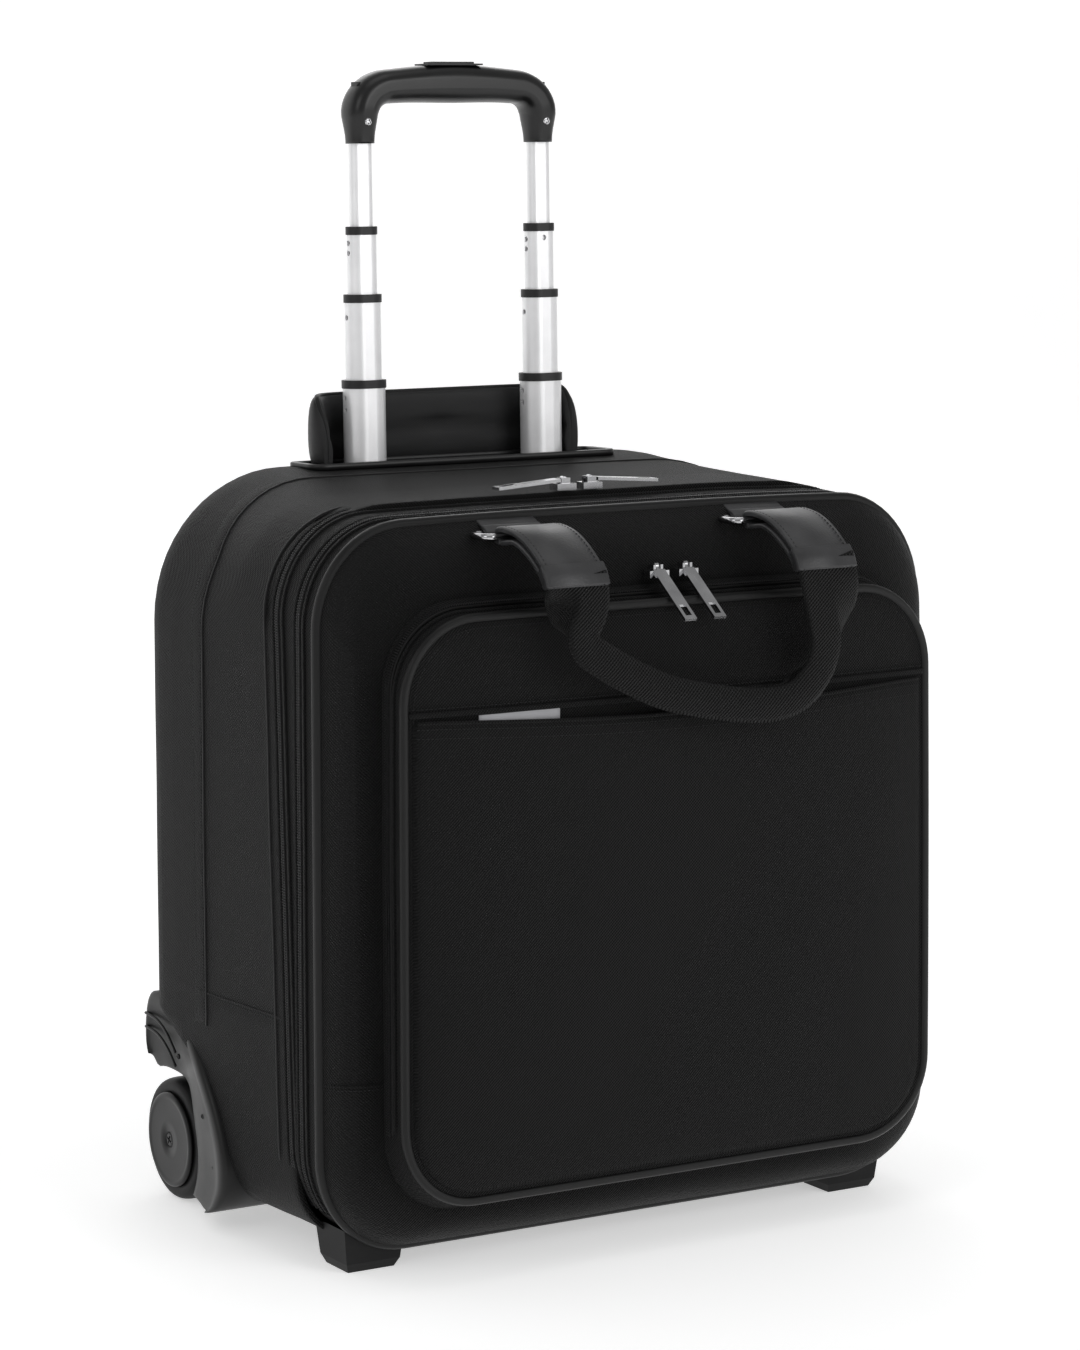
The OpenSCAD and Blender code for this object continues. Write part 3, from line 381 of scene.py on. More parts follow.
weave, weave_in, weave_out = start_group(
    "weave", [("Threads", "NodeSocketFloat", 5200.0), ("Slub", "NodeSocketFloat", 0.5)],
    [("Height", "NodeSocketFloat"), ("Tone", "NodeSocketFloat")])
spot = weave.nodes.new("ShaderNodeTexCoord")
axes = weave.nodes.new("ShaderNodeSeparateXYZ")
wire(weave, spot.outputs["Object"], axes.inputs[0])
facing = weave.nodes.new("ShaderNodeSeparateXYZ")
wire(weave, spot.outputs["Normal"], facing.inputs[0])
waves = []
for axis in range(3):
    along = math_node(weave, "MULTIPLY", axes.outputs[axis], weave_in.outputs["Threads"])
    waves.append(math_node(weave, "SINE", along))
height = None
for axis, (a, b) in enumerate(((1, 2), (0, 2), (0, 1))):
    cross = math_node(weave, "MULTIPLY", waves[a], waves[b])
    share = math_node(weave, "POWER", math_node(weave, "ABSOLUTE", facing.outputs[axis]), 4.0)
    part = math_node(weave, "MULTIPLY", cross, share)
    height = part if height is None else math_node(weave, "ADD", height, part)
slub = weave.nodes.new("ShaderNodeTexNoise")
slub.inputs["Scale"].default_value = 520.0
slub.inputs["Detail"].default_value = 3.0
wire(weave, spot.outputs["Object"], slub.inputs["Vector"])
lump = math_node(weave, "MULTIPLY", math_node(weave, "SUBTRACT", slub.outputs["Fac"], 0.5), weave_in.outputs["Slub"])
wire(weave, math_node(weave, "ADD", height, lump), weave_out.inputs["Height"])
cloud = weave.nodes.new("ShaderNodeTexNoise")
cloud.inputs["Scale"].default_value = 22.0
cloud.inputs["Detail"].default_value = 5.0
wire(weave, spot.outputs["Object"], cloud.inputs["Vector"])
tone = math_node(weave, "ADD", math_node(weave, "MULTIPLY", height, 0.8),
                 math_node(weave, "ADD", math_node(weave, "MULTIPLY", lump, 1.8), -0.9))
tone = math_node(weave, "ADD", tone, cloud.outputs["Fac"], True)
wire(weave, tone, weave_out.inputs["Tone"])

grain, grain_in, grain_out = start_group(
    "grain", [("Scale", "NodeSocketFloat", 700.0), ("Crease", "NodeSocketFloat", 0.5)],
    [("Height", "NodeSocketFloat"), ("Tone", "NodeSocketFloat")])
grain_spot = grain.nodes.new("ShaderNodeTexCoord")
pebble = grain.nodes.new("ShaderNodeTexVoronoi")
pebble.feature = "SMOOTH_F1"
wire(grain, grain_spot.outputs["Object"], pebble.inputs["Vector"])
wire(grain, grain_in.outputs["Scale"], pebble.inputs["Scale"])
folds = grain.nodes.new("ShaderNodeTexNoise")
folds.inputs["Scale"].default_value = 60.0
folds.inputs["Detail"].default_value = 6.0
wire(grain, grain_spot.outputs["Object"], folds.inputs["Vector"])
crease = math_node(grain, "MULTIPLY", folds.outputs["Fac"], grain_in.outputs["Crease"])
wire(grain, math_node(grain, "ADD", pebble.outputs["Distance"], crease), grain_out.inputs["Height"])
wire(grain, folds.outputs["Fac"], grain_out.inputs["Tone"])


def finish(name, dark, light, rough, group=grain, values=None, bump=0.15, depth=0.0002, metallic=0.0, sheen=0.0,
           rough_span=0.12, coat=0.0, specular=0.5):
    """A finish whose colour and roughness drift between two values with a group's tone, over its relief."""
    made = bpy.data.materials.new(name)
    made.use_nodes = True
    tree = made.node_tree
    bsdf = tree.nodes["Principled BSDF"]
    bsdf.inputs["Metallic"].default_value = metallic
    bsdf.inputs["Sheen Weight"].default_value = sheen
    bsdf.inputs["Sheen Roughness"].default_value = 0.5
    bsdf.inputs["Coat Weight"].default_value = coat
    bsdf.inputs["Specular IOR Level"].default_value = specular
    relief = tree.nodes.new("ShaderNodeGroup")
    relief.node_tree = group
    for label, value in (values or {}).items():
        relief.inputs[label].default_value = value
    ramp = tree.nodes.new("ShaderNodeValToRGB")
    ramp.color_ramp.elements[0].position = 0.25
    ramp.color_ramp.elements[1].position = 0.75
    ramp.color_ramp.elements[0].color = (*dark, 1)
    ramp.color_ramp.elements[1].color = (*light, 1)
    wire(tree, relief.outputs["Tone"], ramp.inputs["Fac"])
    wire(tree, ramp.outputs["Color"], bsdf.inputs["Base Color"])
    span = tree.nodes.new("ShaderNodeMapRange")
    span.inputs["To Min"].default_value = rough - rough_span / 2
    span.inputs["To Max"].default_value = rough + rough_span / 2
    wire(tree, relief.outputs["Tone"], span.inputs["Value"])
    wire(tree, span.outputs["Result"], bsdf.inputs["Roughness"])
    lift = tree.nodes.new("ShaderNodeBump")
    lift.inputs["Strength"].default_value = bump
    lift.inputs["Distance"].default_value = depth
    wire(tree, relief.outputs["Height"], lift.inputs["Height"])
    wire(tree, lift.outputs["Normal"], bsdf.inputs["Normal"])
    return made


def grey(v, warm=0.0):
    return (v * (1 + warm), v, v * (1.05 - warm))


twill = finish("nylon_twill", grey(0.0022), grey(0.0105), 0.64, weave, {"Threads": 3300.0, "Slub": 1.6},
               bump=0.9, depth=0.0009, sheen=0.03, specular=0.16)
lining = finish("grey_lining", grey(0.10), grey(0.15), 0.85, weave, {"Threads": 7000.0, "Slub": 0.3},
                bump=0.3, depth=0.0002, sheen=0.2)
tray.data.materials.append(twill)
tray.data.materials.append(lining)

# ---------------------------------------------------------------------------
# Seams of the tray: the rear panel joins the side strip in a folded tape seam,
# and a second seam runs low along each side. Both are stitched twice.
# ---------------------------------------------------------------------------


def sweep(name, path, section, closed_path=False, closed_section=True):
    """Sweeps a section of (across, out) millimetres along a path of (point, out, across)."""
    n = len(section)
    verts = [p + (across * a + out * h) * mm for p, out, across in path for a, h in section]
    faces = []
    last_ring = len(path) if closed_path else len(path) - 1
    for i in range(last_ring):
        i2 = (i + 1) % len(path)
        for j in range(n if closed_section else n - 1):
            k = (j + 1) % n
            faces.append((i * n + j, i * n + k, i2 * n + k, i2 * n + j))
    if closed_section and not closed_path:
        faces.append(tuple(reversed(range(n))))
        faces.append(tuple((len(path) - 1) * n + j for j in range(n)))
    return outward(new_object(name, verts, faces))


def circle_section(r, sides=10, squash=1.0, lift=0.0):
    return [(r * math.cos(2 * math.pi * k / sides), lift + r * squash * math.sin(2 * math.pi * k / sides))
            for k in range(sides)]


def flat_section(width, thick, bevel=0.35, low=-0.4):
    h = width / 2
    return [(-h, low), (-h, thick - bevel), (bevel - h, thick), (h - bevel, thick), (h, thick - bevel), (h, low)]


across_y = Vector((0, 1, 0))


def tray_path(back_of, lift=0.0, low=-1e9, keep=None, side=22, corner=14):
    """A path round the tray at a distance back that may depend on height, above a lowest height."""
    path = []
    probe = outline(case_half, case_low, front_top, 58, 58, side, corner)
    for j in range(len(probe)):
        back = back_of(probe[j][1])
        for _ in range(2):
            s, t, f, r1, r0 = tray_insets(back)
            x, z, nx, nz = outline(case_half - s, case_low + f, top_at(back) - t, r1, r0, side, corner)[j]
            back = back_of(z)
        if z < low or (keep and not keep(x, z)):
            path.append(None)
            continue
        p = cloth(x, back, z)
        swell = 1.2 * math.sin(math.pi * min(1.0, max(0.0, (back - 60) / 110.0))) * abs(nx)
        swell += crumple(p) - 0.5 + lift
        out = Vector((nx, 0, nz))
        path.append((p + out * swell * mm, out, across_y.copy()))
    return path


def strands(path):
    """Splits a ring with gaps into runs of points, joining the run that crosses its start."""
    if None not in path:
        return [path + [path[0]]]
    first = path.index(None)
    turned = path[first:] + path[:first]
    runs, run = [], []
    for item in turned + [None]:
        if item is None:
            if len(run) > 1:
                runs.append(run)
            run = []
        else:
            run.append(item)
    return runs


def bead_tree():
    """Small rounded beads set at one pitch along polylines: stitches, or the teeth of a zip."""
    tree = bpy.data.node_groups.new("beads_along_a_line", "GeometryNodeTree")
    tree.interface.new_socket(name="Line", in_out="INPUT", socket_type="NodeSocketGeometry")
    for label, kind in (("Pitch", "NodeSocketFloat"), ("Start", "NodeSocketFloat"), ("Size", "NodeSocketVector"),
                        ("Across", "NodeSocketVector"), ("Offset", "NodeSocketVector"),
                        ("Finish", "NodeSocketMaterial")):
        tree.interface.new_socket(name=label, in_out="INPUT", socket_type=kind)
    tree.interface.new_socket(name="Beads", in_out="OUTPUT", socket_type="NodeSocketGeometry")
    add = tree.nodes.new
    given, result = add("NodeGroupInput"), add("NodeGroupOutput")
    curve, trim = add("GeometryNodeMeshToCurve"), add("GeometryNodeTrimCurve")
    resample = add("GeometryNodeResampleCurve")
    trim.mode = "LENGTH"
    trim.inputs["End"].default_value = 100.0
    for socket in trim.inputs:
        if socket.name == "End" and socket.type == "VALUE":
            socket.default_value = 100.0
    resample.mode = "LENGTH"
    ball = add("GeometryNodeMeshUVSphere")
    ball.inputs["Segments"].default_value = 6
    ball.inputs["Rings"].default_value = 4
    ball.inputs["Radius"].default_value = 0.5
    tangent, first = add("GeometryNodeInputTangent"), add("FunctionNodeAlignRotationToVector")
    second = add("FunctionNodeAlignRotationToVector")
    first.axis = "X"
    second.axis = "Y"
    second.pivot_axis = "X"
    put, real = add("GeometryNodeInstanceOnPoints"), add("GeometryNodeRealizeInstances")
    paint, shift = add("GeometryNodeSetMaterial"), add("GeometryNodeTranslateInstances")
    smooth = add("GeometryNodeSetShadeSmooth")
    wire(tree, given.outputs["Line"], curve.inputs[0])
    wire(tree, curve.outputs[0], trim.inputs[0])
    starts = [s for s in trim.inputs if s.name == "Start" and s.enabled]
    wire(tree, given.outputs["Start"], starts[-1])
    wire(tree, trim.outputs[0], resample.inputs[0])
    wire(tree, given.outputs["Pitch"], resample.inputs["Length"])
    wire(tree, resample.outputs[0], put.inputs["Points"])
    wire(tree, ball.outputs[0], put.inputs["Instance"])
    wire(tree, tangent.outputs[0], first.inputs["Vector"])
    wire(tree, first.outputs[0], second.inputs["Rotation"])
    wire(tree, given.outputs["Across"], second.inputs["Vector"])
    wire(tree, second.outputs[0], put.inputs["Rotation"])
    wire(tree, given.outputs["Size"], put.inputs["Scale"])
    wire(tree, put.outputs[0], shift.inputs[0])
    wire(tree, given.outputs["Offset"], shift.inputs["Translation"])
    shift.inputs["Local Space"].default_value = False
    wire(tree, shift.outputs[0], real.inputs[0])
    wire(tree, real.outputs[0], smooth.inputs[0])
    wire(tree, smooth.outputs[0], paint.inputs["Geometry"])
    wire(tree, given.outputs["Finish"], paint.inputs["Material"])
    wire(tree, paint.outputs[0], result.inputs[0])
    return tree


beads_tree = bead_tree()


def beads(name, runs, pitch, size, material, across=(0, 1, 0), offset=(0, 0, 0), start=0.0, lift=0.0):
    """Beads along each run of (point, out, across); sizes in millimetres: along, across, out."""
    verts, edges = [], []
    for run in runs:
        base = len(verts)
        verts += [tuple(p + out * lift * mm) for p, out, _ in run]
        edges += [(base + k, base + k + 1) for k in range(len(run) - 1)]
    mesh = bpy.data.meshes.new(name)
    mesh.from_pydata(verts, edges, [])
    made = bpy.data.objects.new(name, mesh)
    scene.collection.objects.link(made)
    rule = made.modifiers.new("beads", "NODES")
    rule.node_group = beads_tree
    wanted = {"Pitch": pitch * mm, "Start": start * mm, "Size": [s * mm for s in size], "Across": across,
              "Offset": [o * mm for o in offset], "Finish": material}
    for item in beads_tree.interface.items_tree:
        if item.in_out == "INPUT" and item.name in wanted:
            rule[item.identifier] = wanted[item.name]
    return bake_modifiers(made)


def join(name, parts):
    """Joins several pieces into one, with their materials."""
    work = bmesh.new()
    materials = []
    for part in parts:
        lookup = []
        for material in part.data.materials:
            if material not in materials:
                materials.append(material)
            lookup.append(materials.index(material))
        count = len(work.faces)
        work.from_mesh(part.data)
        work.faces.ensure_lookup_table()
        for face in work.faces[count:]:
            face.material_index = lookup[face.material_index] if lookup else 0
        bpy.data.objects.remove(part)
    mesh = bpy.data.meshes.new(name)
    work.to_mesh(mesh)
    work.free()
    for material in materials:
        mesh.materials.append(material)
    made = bpy.data.objects.new(name, mesh)
    scene.collection.objects.link(made)
    return made


def paint(made, material):
    made.data.materials.clear()
    made.data.materials.append(material)
    return made


thread = finish("black_thread", grey(0.009), grey(0.016), 0.55, grain, {"Scale": 2500.0, "Crease": 0.2}, specular=0.3)
tape = finish("woven_tape", grey(0.004), grey(0.009), 0.6, weave, {"Threads": 8500.0, "Slub": 0.2},
              bump=0.5, depth=0.0003, sheen=0.05, specular=0.2)


def clear_of_fin(x, z):
    return not (abs(x) > 150 and z < 116)


fold_section = [(-0.9, -1.0), (-0.9, 0.1), (-0.4, 0.5), (0.5, 0.5), (1.0, -1.0)]
rear_seam = tray_path(lambda z: 132.0 if z < 400 else 132.0 + (z - 400.0) * 0.6, low=20, keep=clear_of_fin)
parts = []
for run in strands(rear_seam):
    parts.append(paint(sweep("seam", [(p, o, a) for p, o, a in run],
                             [(-1.2, -1.5), (-1.2, 0.3), (-0.6, 0.8), (0.4, 0.8), (0.8, 0.2), (0.8, -1.5)]), tape))
    wide = [(p + across_y * 7.5 * mm, o, a) for p, o, a in run]
    parts.append(paint(sweep("seam", wide, flat_section(13.0, 0.45, 0.3)), twill))
    for shift in (2.6, 12.2):
        stitched = [(p + across_y * shift * mm, o, a) for p, o, a in run]
        parts.append(beads("seam", [stitched], 2.6, (1.9, 0.45, 0.35), thread, lift=0.5))
rear_tape = join("rear_seam", parts)
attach(rear_tape, "case")

low_seams = []
for sign in (-1, 1):
    for height_z, pitch in ((144.5, 2.6), (140.5, 2.6)):
        run = []
        for k in range(60):
            back = 40.0 + k * 1.72
            side = tray_insets(back)[0]
            p = cloth(sign * (case_half - side), back, height_z - 0.012 * back)
            swell = 1.2 * math.sin(math.pi * min(1.0, max(0.0, (back - 60) / 110.0))) + crumple(p) - 0.5
            run.append((p + Vector((sign, 0, 0)) * swell * mm, Vector((sign, 0, 0)), Vector((0, 0, 1))))
        if height_z > 142:
            low_seams.append(paint(sweep("seam", run, fold_section), twill))
        low_seams.append(beads("seam", [run], pitch, (1.9, 0.5, 0.4), thread, across=(0, 0, 1),
                               offset=(0, 0, -2.2), lift=0.15))
low_seam = join("low_seams", low_seams)
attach(low_seam, "case")

# ---------------------------------------------------------------------------
# Main zip: a nylon coil on woven tape between two narrow welts of the case
# fabric, with a wide fabric border behind it. It stops at both feet.
# ---------------------------------------------------------------------------
coil = finish("nylon_coil", grey(0.004), grey(0.009), 0.38, grain, {"Scale": 1800.0, "Crease": 0.3}, bump=0.2,
              specular=0.35)
welt_section = [(-1.6, -1.2), (-1.7, 0.3), (-1.2, 1.1), (-0.2, 1.4), (0.9, 1.2), (1.6, 0.5), (1.7, -1.2)]


def zip_line(name, path_of, tape_half=3.4, welts=(-5.6, 5.6), rise=0.25, up=0.9):
    """A closed coil with its tape and welts along a path; path_of gives the path at a shift back."""
    made = []
    for run in strands(path_of(0.0)):
        tape_section = [(-tape_half, -0.8), (-tape_half, rise), (tape_half, rise), (tape_half, -0.8)]
        made.append(paint(sweep(name, run, tape_section), tape))
        for side in (-1, 1):
            teeth = [(p + a * side * 1.15 * mm, o, a) for p, o, a in run]
            made.append(beads(name, [teeth], 1.55, (1.15, 2.7, 1.3), coil, start=0.4 if side < 0 else 1.2, lift=up))
    for shift in welts:
        for run in strands(path_of(shift)):
            made.append(paint(sweep(name, run, welt_section), twill))
            edge = [(p + a * (1.1 if shift > 0 else -1.1) * mm, o, a) for p, o, a in run]
            made.append(beads(name, [edge], 2.4, (1.7, 0.4, 0.35), thread, lift=1.3))
    return join(name, made)


zip_low = 34.5


def main_zip_path(shift):
    return tray_path(lambda z: zip_plane(z) + 3.4 + shift, low=zip_low)


main_zip = zip_line("main_zip_coil", main_zip_path, welts=(5.6,))
border = []
for run in strands(tray_path(lambda z: zip_plane(z) + 20.0, low=zip_low)):
    border_section = [(-1.3, -1.0), (-1.3, 0.3), (-0.7, 0.8), (0.4, 0.8), (1.3, 0.2), (1.3, -1.0)]
    border.append(paint(sweep("border", run, border_section), tape))
    border.append(beads("border", [[(p + a * -2.6 * mm, o, a) for p, o, a in run]], 2.6, (1.9, 0.45, 0.35), thread,
                        lift=0.1))
main_zip = join("main_zip_coil", [main_zip] + border)
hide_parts("main_zip")
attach(main_zip, "case")

# ---------------------------------------------------------------------------
# Foot of the case: a pan of the same fabric that carries the feet and closes
# the case below the zips.
# ---------------------------------------------------------------------------
def open_loft(name, rings):
    n = len(rings[0])
    verts = [v for ring in rings for v in ring]
    faces = [(i * n + j, i * n + j + 1, (i + 1) * n + j + 1, (i + 1) * n + j)
             for i in range(len(rings) - 1) for j in range(n - 1)]
    return new_object(name, verts, faces)


rings = []
for back in (5.2, 8, 12, 16, 20, 24.8, 26, 40, 55, 69):
    reach = 33.2 if back <= 25 else 17.4
    ring = []
    span = 58 * math.acos(1 - (reach - case_low) / 58.0)
    for k in range(41):
        s = -1 + 2 * k / 40
        flat = case_half - 58.0
        total = flat + span
        along = abs(s) * total
        if along <= flat:
            x, z, nx, nz = along, case_low, 0.0, -1.0
        else:
            a = (along - flat) / 58.0
            x, z, nx, nz = flat + 58 * math.sin(a), case_low + 58 * (1 - math.cos(a)), math.sin(a), -math.cos(a)
        ring.append(cloth(math.copysign(x, s), back, z))
    rings.append(ring)
pan = outward(open_loft("case_foot", rings))
work = bmesh.new()
work.from_mesh(pan.data)
if sum(f.normal.z for f in work.faces) > 0:
    bmesh.ops.reverse_faces(work, faces=work.faces)
work.to_mesh(pan.data)
work.free()
pan.data.materials.append(twill)
pan.data.materials.append(lining)
thicken(pan, 3.0 * mm)
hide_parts("bottom_panel")
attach(pan, "case")

# ---------------------------------------------------------------------------
# Inside of the tray: the stiff back board behind the lining, and a padded
# sleeve for a laptop, with a hook-and-loop strap over its mouth.
# ---------------------------------------------------------------------------
board = finish("pressed_board", grey(0.03), grey(0.05), 0.7, grain, {"Scale": 400.0, "Crease": 1.0})


def dress(material, *names):
    """Gives nodes of the frame a finish."""
    for name in names:
        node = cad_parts[name]
        if node.material_slots:
            for slot in node.material_slots:
                slot.material = material
        else:
            node.data.materials.append(material)


dress(board, "back_board")


def span_mm(name):
    low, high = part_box(name)
    return [v / mm for v in low], [v / mm for v in high]


low, high = span_mm("laptop_sleeve")
sleeve_half, sleeve_low, sleeve_high = high[0], low[2], high[2]
sleeve_front, sleeve_back = low[1] - seam_y / mm, high[1] - seam_y / mm
rings = []
for k in range(15):
    t = k / 14
    back = sleeve_front + (sleeve_back - sleeve_front) * t
    tuck = 16.0 * (abs(2 * t - 1) ** 3.5)
    if k in (0, 14):
        tuck = 22.0
    ring = []
    for x, z, nx, nz in outline(sleeve_half - tuck, sleeve_low + tuck, sleeve_high - tuck, 30, 30):
        p = place(x, back, z)
        ring.append(p + Vector((nx, 0, nz)) * (crumple(p, 0.8) - 0.6) * mm)
    rings.append(ring)
sleeve = outward(loft("laptop_pad", rings, (True, True)))
sleeve.data.materials.append(lining)
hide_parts("laptop_sleeve")
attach(sleeve, "case")
low, high = span_mm("sleeve_strap")
strap_back = low[1] - seam_y / mm
run = []
for k in range(25):
    t = k / 24
    z = low[2] + (high[2] - low[2]) * t
    run.append((place(0, strap_back + 1.6 + 0.8 * math.sin(3 * math.pi * t), z), Vector((0, -1, 0)), Vector((1, 0, 0))))
strap_half = (high[0] - low[0]) / 2
loop_strap = paint(sweep("sleeve_loop", run, flat_section(2 * strap_half, 1.2, 0.4)), tape)
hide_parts("sleeve_strap")
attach(loop_strap, "case")

# ---------------------------------------------------------------------------
# Trolley: satin aluminium tubes in four drawn stages with black collars. They
# run in a moulded cup in the top of the case and are screwed to the back board.
# ---------------------------------------------------------------------------
satin = finish("satin_aluminium", (0.86, 0.86, 0.87), (0.95, 0.95, 0.96), 0.34, grain, {"Scale": 300.0, "Crease": 1.0},
               bump=0.04, metallic=0.45, rough_span=0.1)
moulded = finish("black_moulding", grey(0.006), grey(0.012), 0.42, grain, {"Scale": 1500.0, "Crease": 0.2}, bump=0.12,
                 specular=0.4)
bright = finish("polished_nickel", (0.36, 0.36, 0.37), (0.56, 0.56, 0.57), 0.16, grain, {"Scale": 500.0, "Crease": 1.0},
                bump=0.03, metallic=1.0, rough_span=0.1)
dress(satin, "outer_tubes", "stage_1_tubes", "stage_2_tubes", "stage_3_tubes", "stage_4_tubes", "axles")
dress(moulded, "bay_cup", "outer_collars", "tube_bracket", "stage_1_bushes", "stage_2_bushes", "stage_3_bushes",
      "stage_4_bushes", "release_yoke")
dress(bright, "bracket_screws", "foot_screws", "button_spring", "bearings_left", "bearings_right")

# ---------------------------------------------------------------------------
# Grip: a glossy black moulded bow, two half shells screwed together over the
# tops of the last tubes. Its legs narrow down to the tubes' own size.
# ---------------------------------------------------------------------------
gloss = finish("grip_moulding", grey(0.0024), grey(0.0054), 0.32, grain, {"Scale": 1100.0, "Crease": 0.3}, bump=0.1,
               specular=0.42)
grip_foot = 194.0
grip_top = 241.0
grip_half = 63.0
bend = 17.0
path = []
for k in range(13):
    path.append((-grip_half, grip_foot + (grip_top - 10.3 - bend - grip_foot) * k / 12, 0.0))
for k in range(1, 13):
    a = math.pi / 2 * k / 12
    path.append((-grip_half + bend * (1 - math.cos(a)), grip_top - 10.3 - bend + bend * math.sin(a), a))
for k in range(1, 24):
    path.append(((grip_half - bend) * (2 * k / 24 - 1), grip_top - 10.3, math.pi / 2))
for k in range(12, -1, -1):
    a = math.pi / 2 * k / 12
    path.append((grip_half - bend * (1 - math.cos(a)), grip_top - 10.3 - bend + bend * math.sin(a), math.pi - a))
for k in range(11, -1, -1):
    path.append((grip_half, grip_foot + (grip_top - 10.3 - bend - grip_foot) * k / 12, math.pi))
rings = []
sides = 40
for x, z, a in path:
    rise = ease((z - grip_foot) / 26.0)
    thick = 8.3 + 1.9 * rise + 1.6 * math.exp(-(x / 30.0) ** 2) * rise
    z -= (2.4 * min(1.0, abs(x) / 52.0) ** 2 + 0.7) * rise
    deep = 8.6 + 4.2 * rise
    across = Vector((-math.sin(a), 0, math.cos(a)))
    across = Vector((-math.cos(a), 0, math.sin(a)))
    ring = []
    for j in range(sides):
        b = 2 * math.pi * j / sides
        c, s = math.cos(b), math.sin(b)
        power = 2 / 2.5
        u = thick * math.copysign(abs(c) ** power, c)
        v = deep * math.copysign(abs(s) ** power, s)
        if j in (sides // 4, 3 * sides // 4):
            v *= 0.955
        ring.append(trolley(x + across.x * u, v, z + across.z * u))
    rings.append(ring)
grip = outward(loft("grip_shell", rings, (True, True)))
grip.data.materials.append(gloss)
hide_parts("grip_upper", "grip_lower")
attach(grip, "stage_4")
dress(moulded, "button_bezel")
dress(gloss, "push_button")


def screw_head(name, centre, out, r, height, slot_wide, slot_deep, sides=28):
    """A domed screw head with a cross recess, facing out."""
    out = out.normalized()
    side = out.orthogonal().normalized()
    up = out.cross(side)
    rings = []
    for share, lift in ((1.0, -0.6), (1.0, 0.35), (0.9, 0.75), (0.6, 0.95), (0.25, 1.0)):
        rings.append([centre + (side * math.cos(2 * math.pi * k / sides) + up * math.sin(2 * math.pi * k / sides))
                      * r * share * mm + out * height * lift * mm for k in range(sides)])
    head = outward(loft(name, rings, (True, True)))
    for turn in (0.4, 0.4 + math.pi / 2):
        a = side * math.cos(turn) + up * math.sin(turn)
        b = out.cross(a)
        verts = [centre + a * i * r * 0.62 * mm + b * j * slot_wide / 2 * mm + out * (height * k) * mm
                 for k in (1 - slot_deep, 2.0) for i, j in ((-1, -1), (1, -1), (1, 1), (-1, 1))]
        faces = [(3, 2, 1, 0), (4, 5, 6, 7)] + [(j, (j + 1) % 4, 4 + (j + 1) % 4, 4 + j) for j in range(4)]
        cut_away(head, outward(new_object("cutter", verts, faces, False)))
    return head


screws = []
for sign in (-1, 1):
    face = 8.6 + 4.2 * ease(13.0 / 26.0)
    centre = trolley(sign * grip_half, -face, grip_foot + 13.0)
    screws.append(paint(screw_head("screw", centre, Vector((0, -1, 0)), 2.4, 0.9, 0.8, 0.7), bright))
grip_pins = join("grip_screw_heads", screws)
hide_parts("grip_screws")
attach(grip_pins, "stage_4")

# ---------------------------------------------------------------------------
# Wheels: a black rubber tyre on a moulded hub with a flat cap held by one
# screw. A moulded housing with a fin sweeps round each and shields the corner.
# ---------------------------------------------------------------------------
rubber = finish("tyre_rubber", grey(0.003), grey(0.008), 0.55, grain, {"Scale": 900.0, "Crease": 0.5}, bump=0.15,
                specular=0.22)
cap_finish = finish("wheel_cap_moulding", grey(0.0035), grey(0.0070), 0.4, grain, {"Scale": 1500.0, "Crease": 0.2},
                    bump=0.08, specular=0.3)
housing_finish = finish("housing_moulding", grey(0.0018), grey(0.0040), 0.42, grain, {"Scale": 1400.0, "Crease": 0.2},
                        bump=0.1, specular=0.35)
hub_low, hub_high = span_mm("tyre_left")
wheel_back = (hub_low[1] + hub_high[1]) / 2 - seam_y / mm
wheel_z = (hub_low[2] + hub_high[2]) / 2
wheel_r = (hub_high[2] - hub_low[2]) / 2


def lathe(name, profile, sign, sides=72):
    """Turns a closed profile of (x out, radius) about the wheel's axle."""
    rings = []
    for k in range(sides):
        a = 2 * math.pi * k / sides
        rings.append([place(sign * x, wheel_back + r * math.sin(a), wheel_z + r * math.cos(a)) for x, r in profile])
    n = len(profile)
    verts = [v for ring in rings for v in ring]
    faces = [(i * n + j, i * n + (j + 1) % n, ((i + 1) % sides) * n + (j + 1) % n, ((i + 1) % sides) * n + j)
             for i in range(sides) for j in range(n)]
    return outward(new_object(name, verts, faces))


def disc(name, profile, sign, sides=72):
    """Turns an open profile of (x out, radius) that starts and ends on the axle."""
    return lathe(name, [(x, max(r, 0.001)) for x, r in profile], sign, sides)


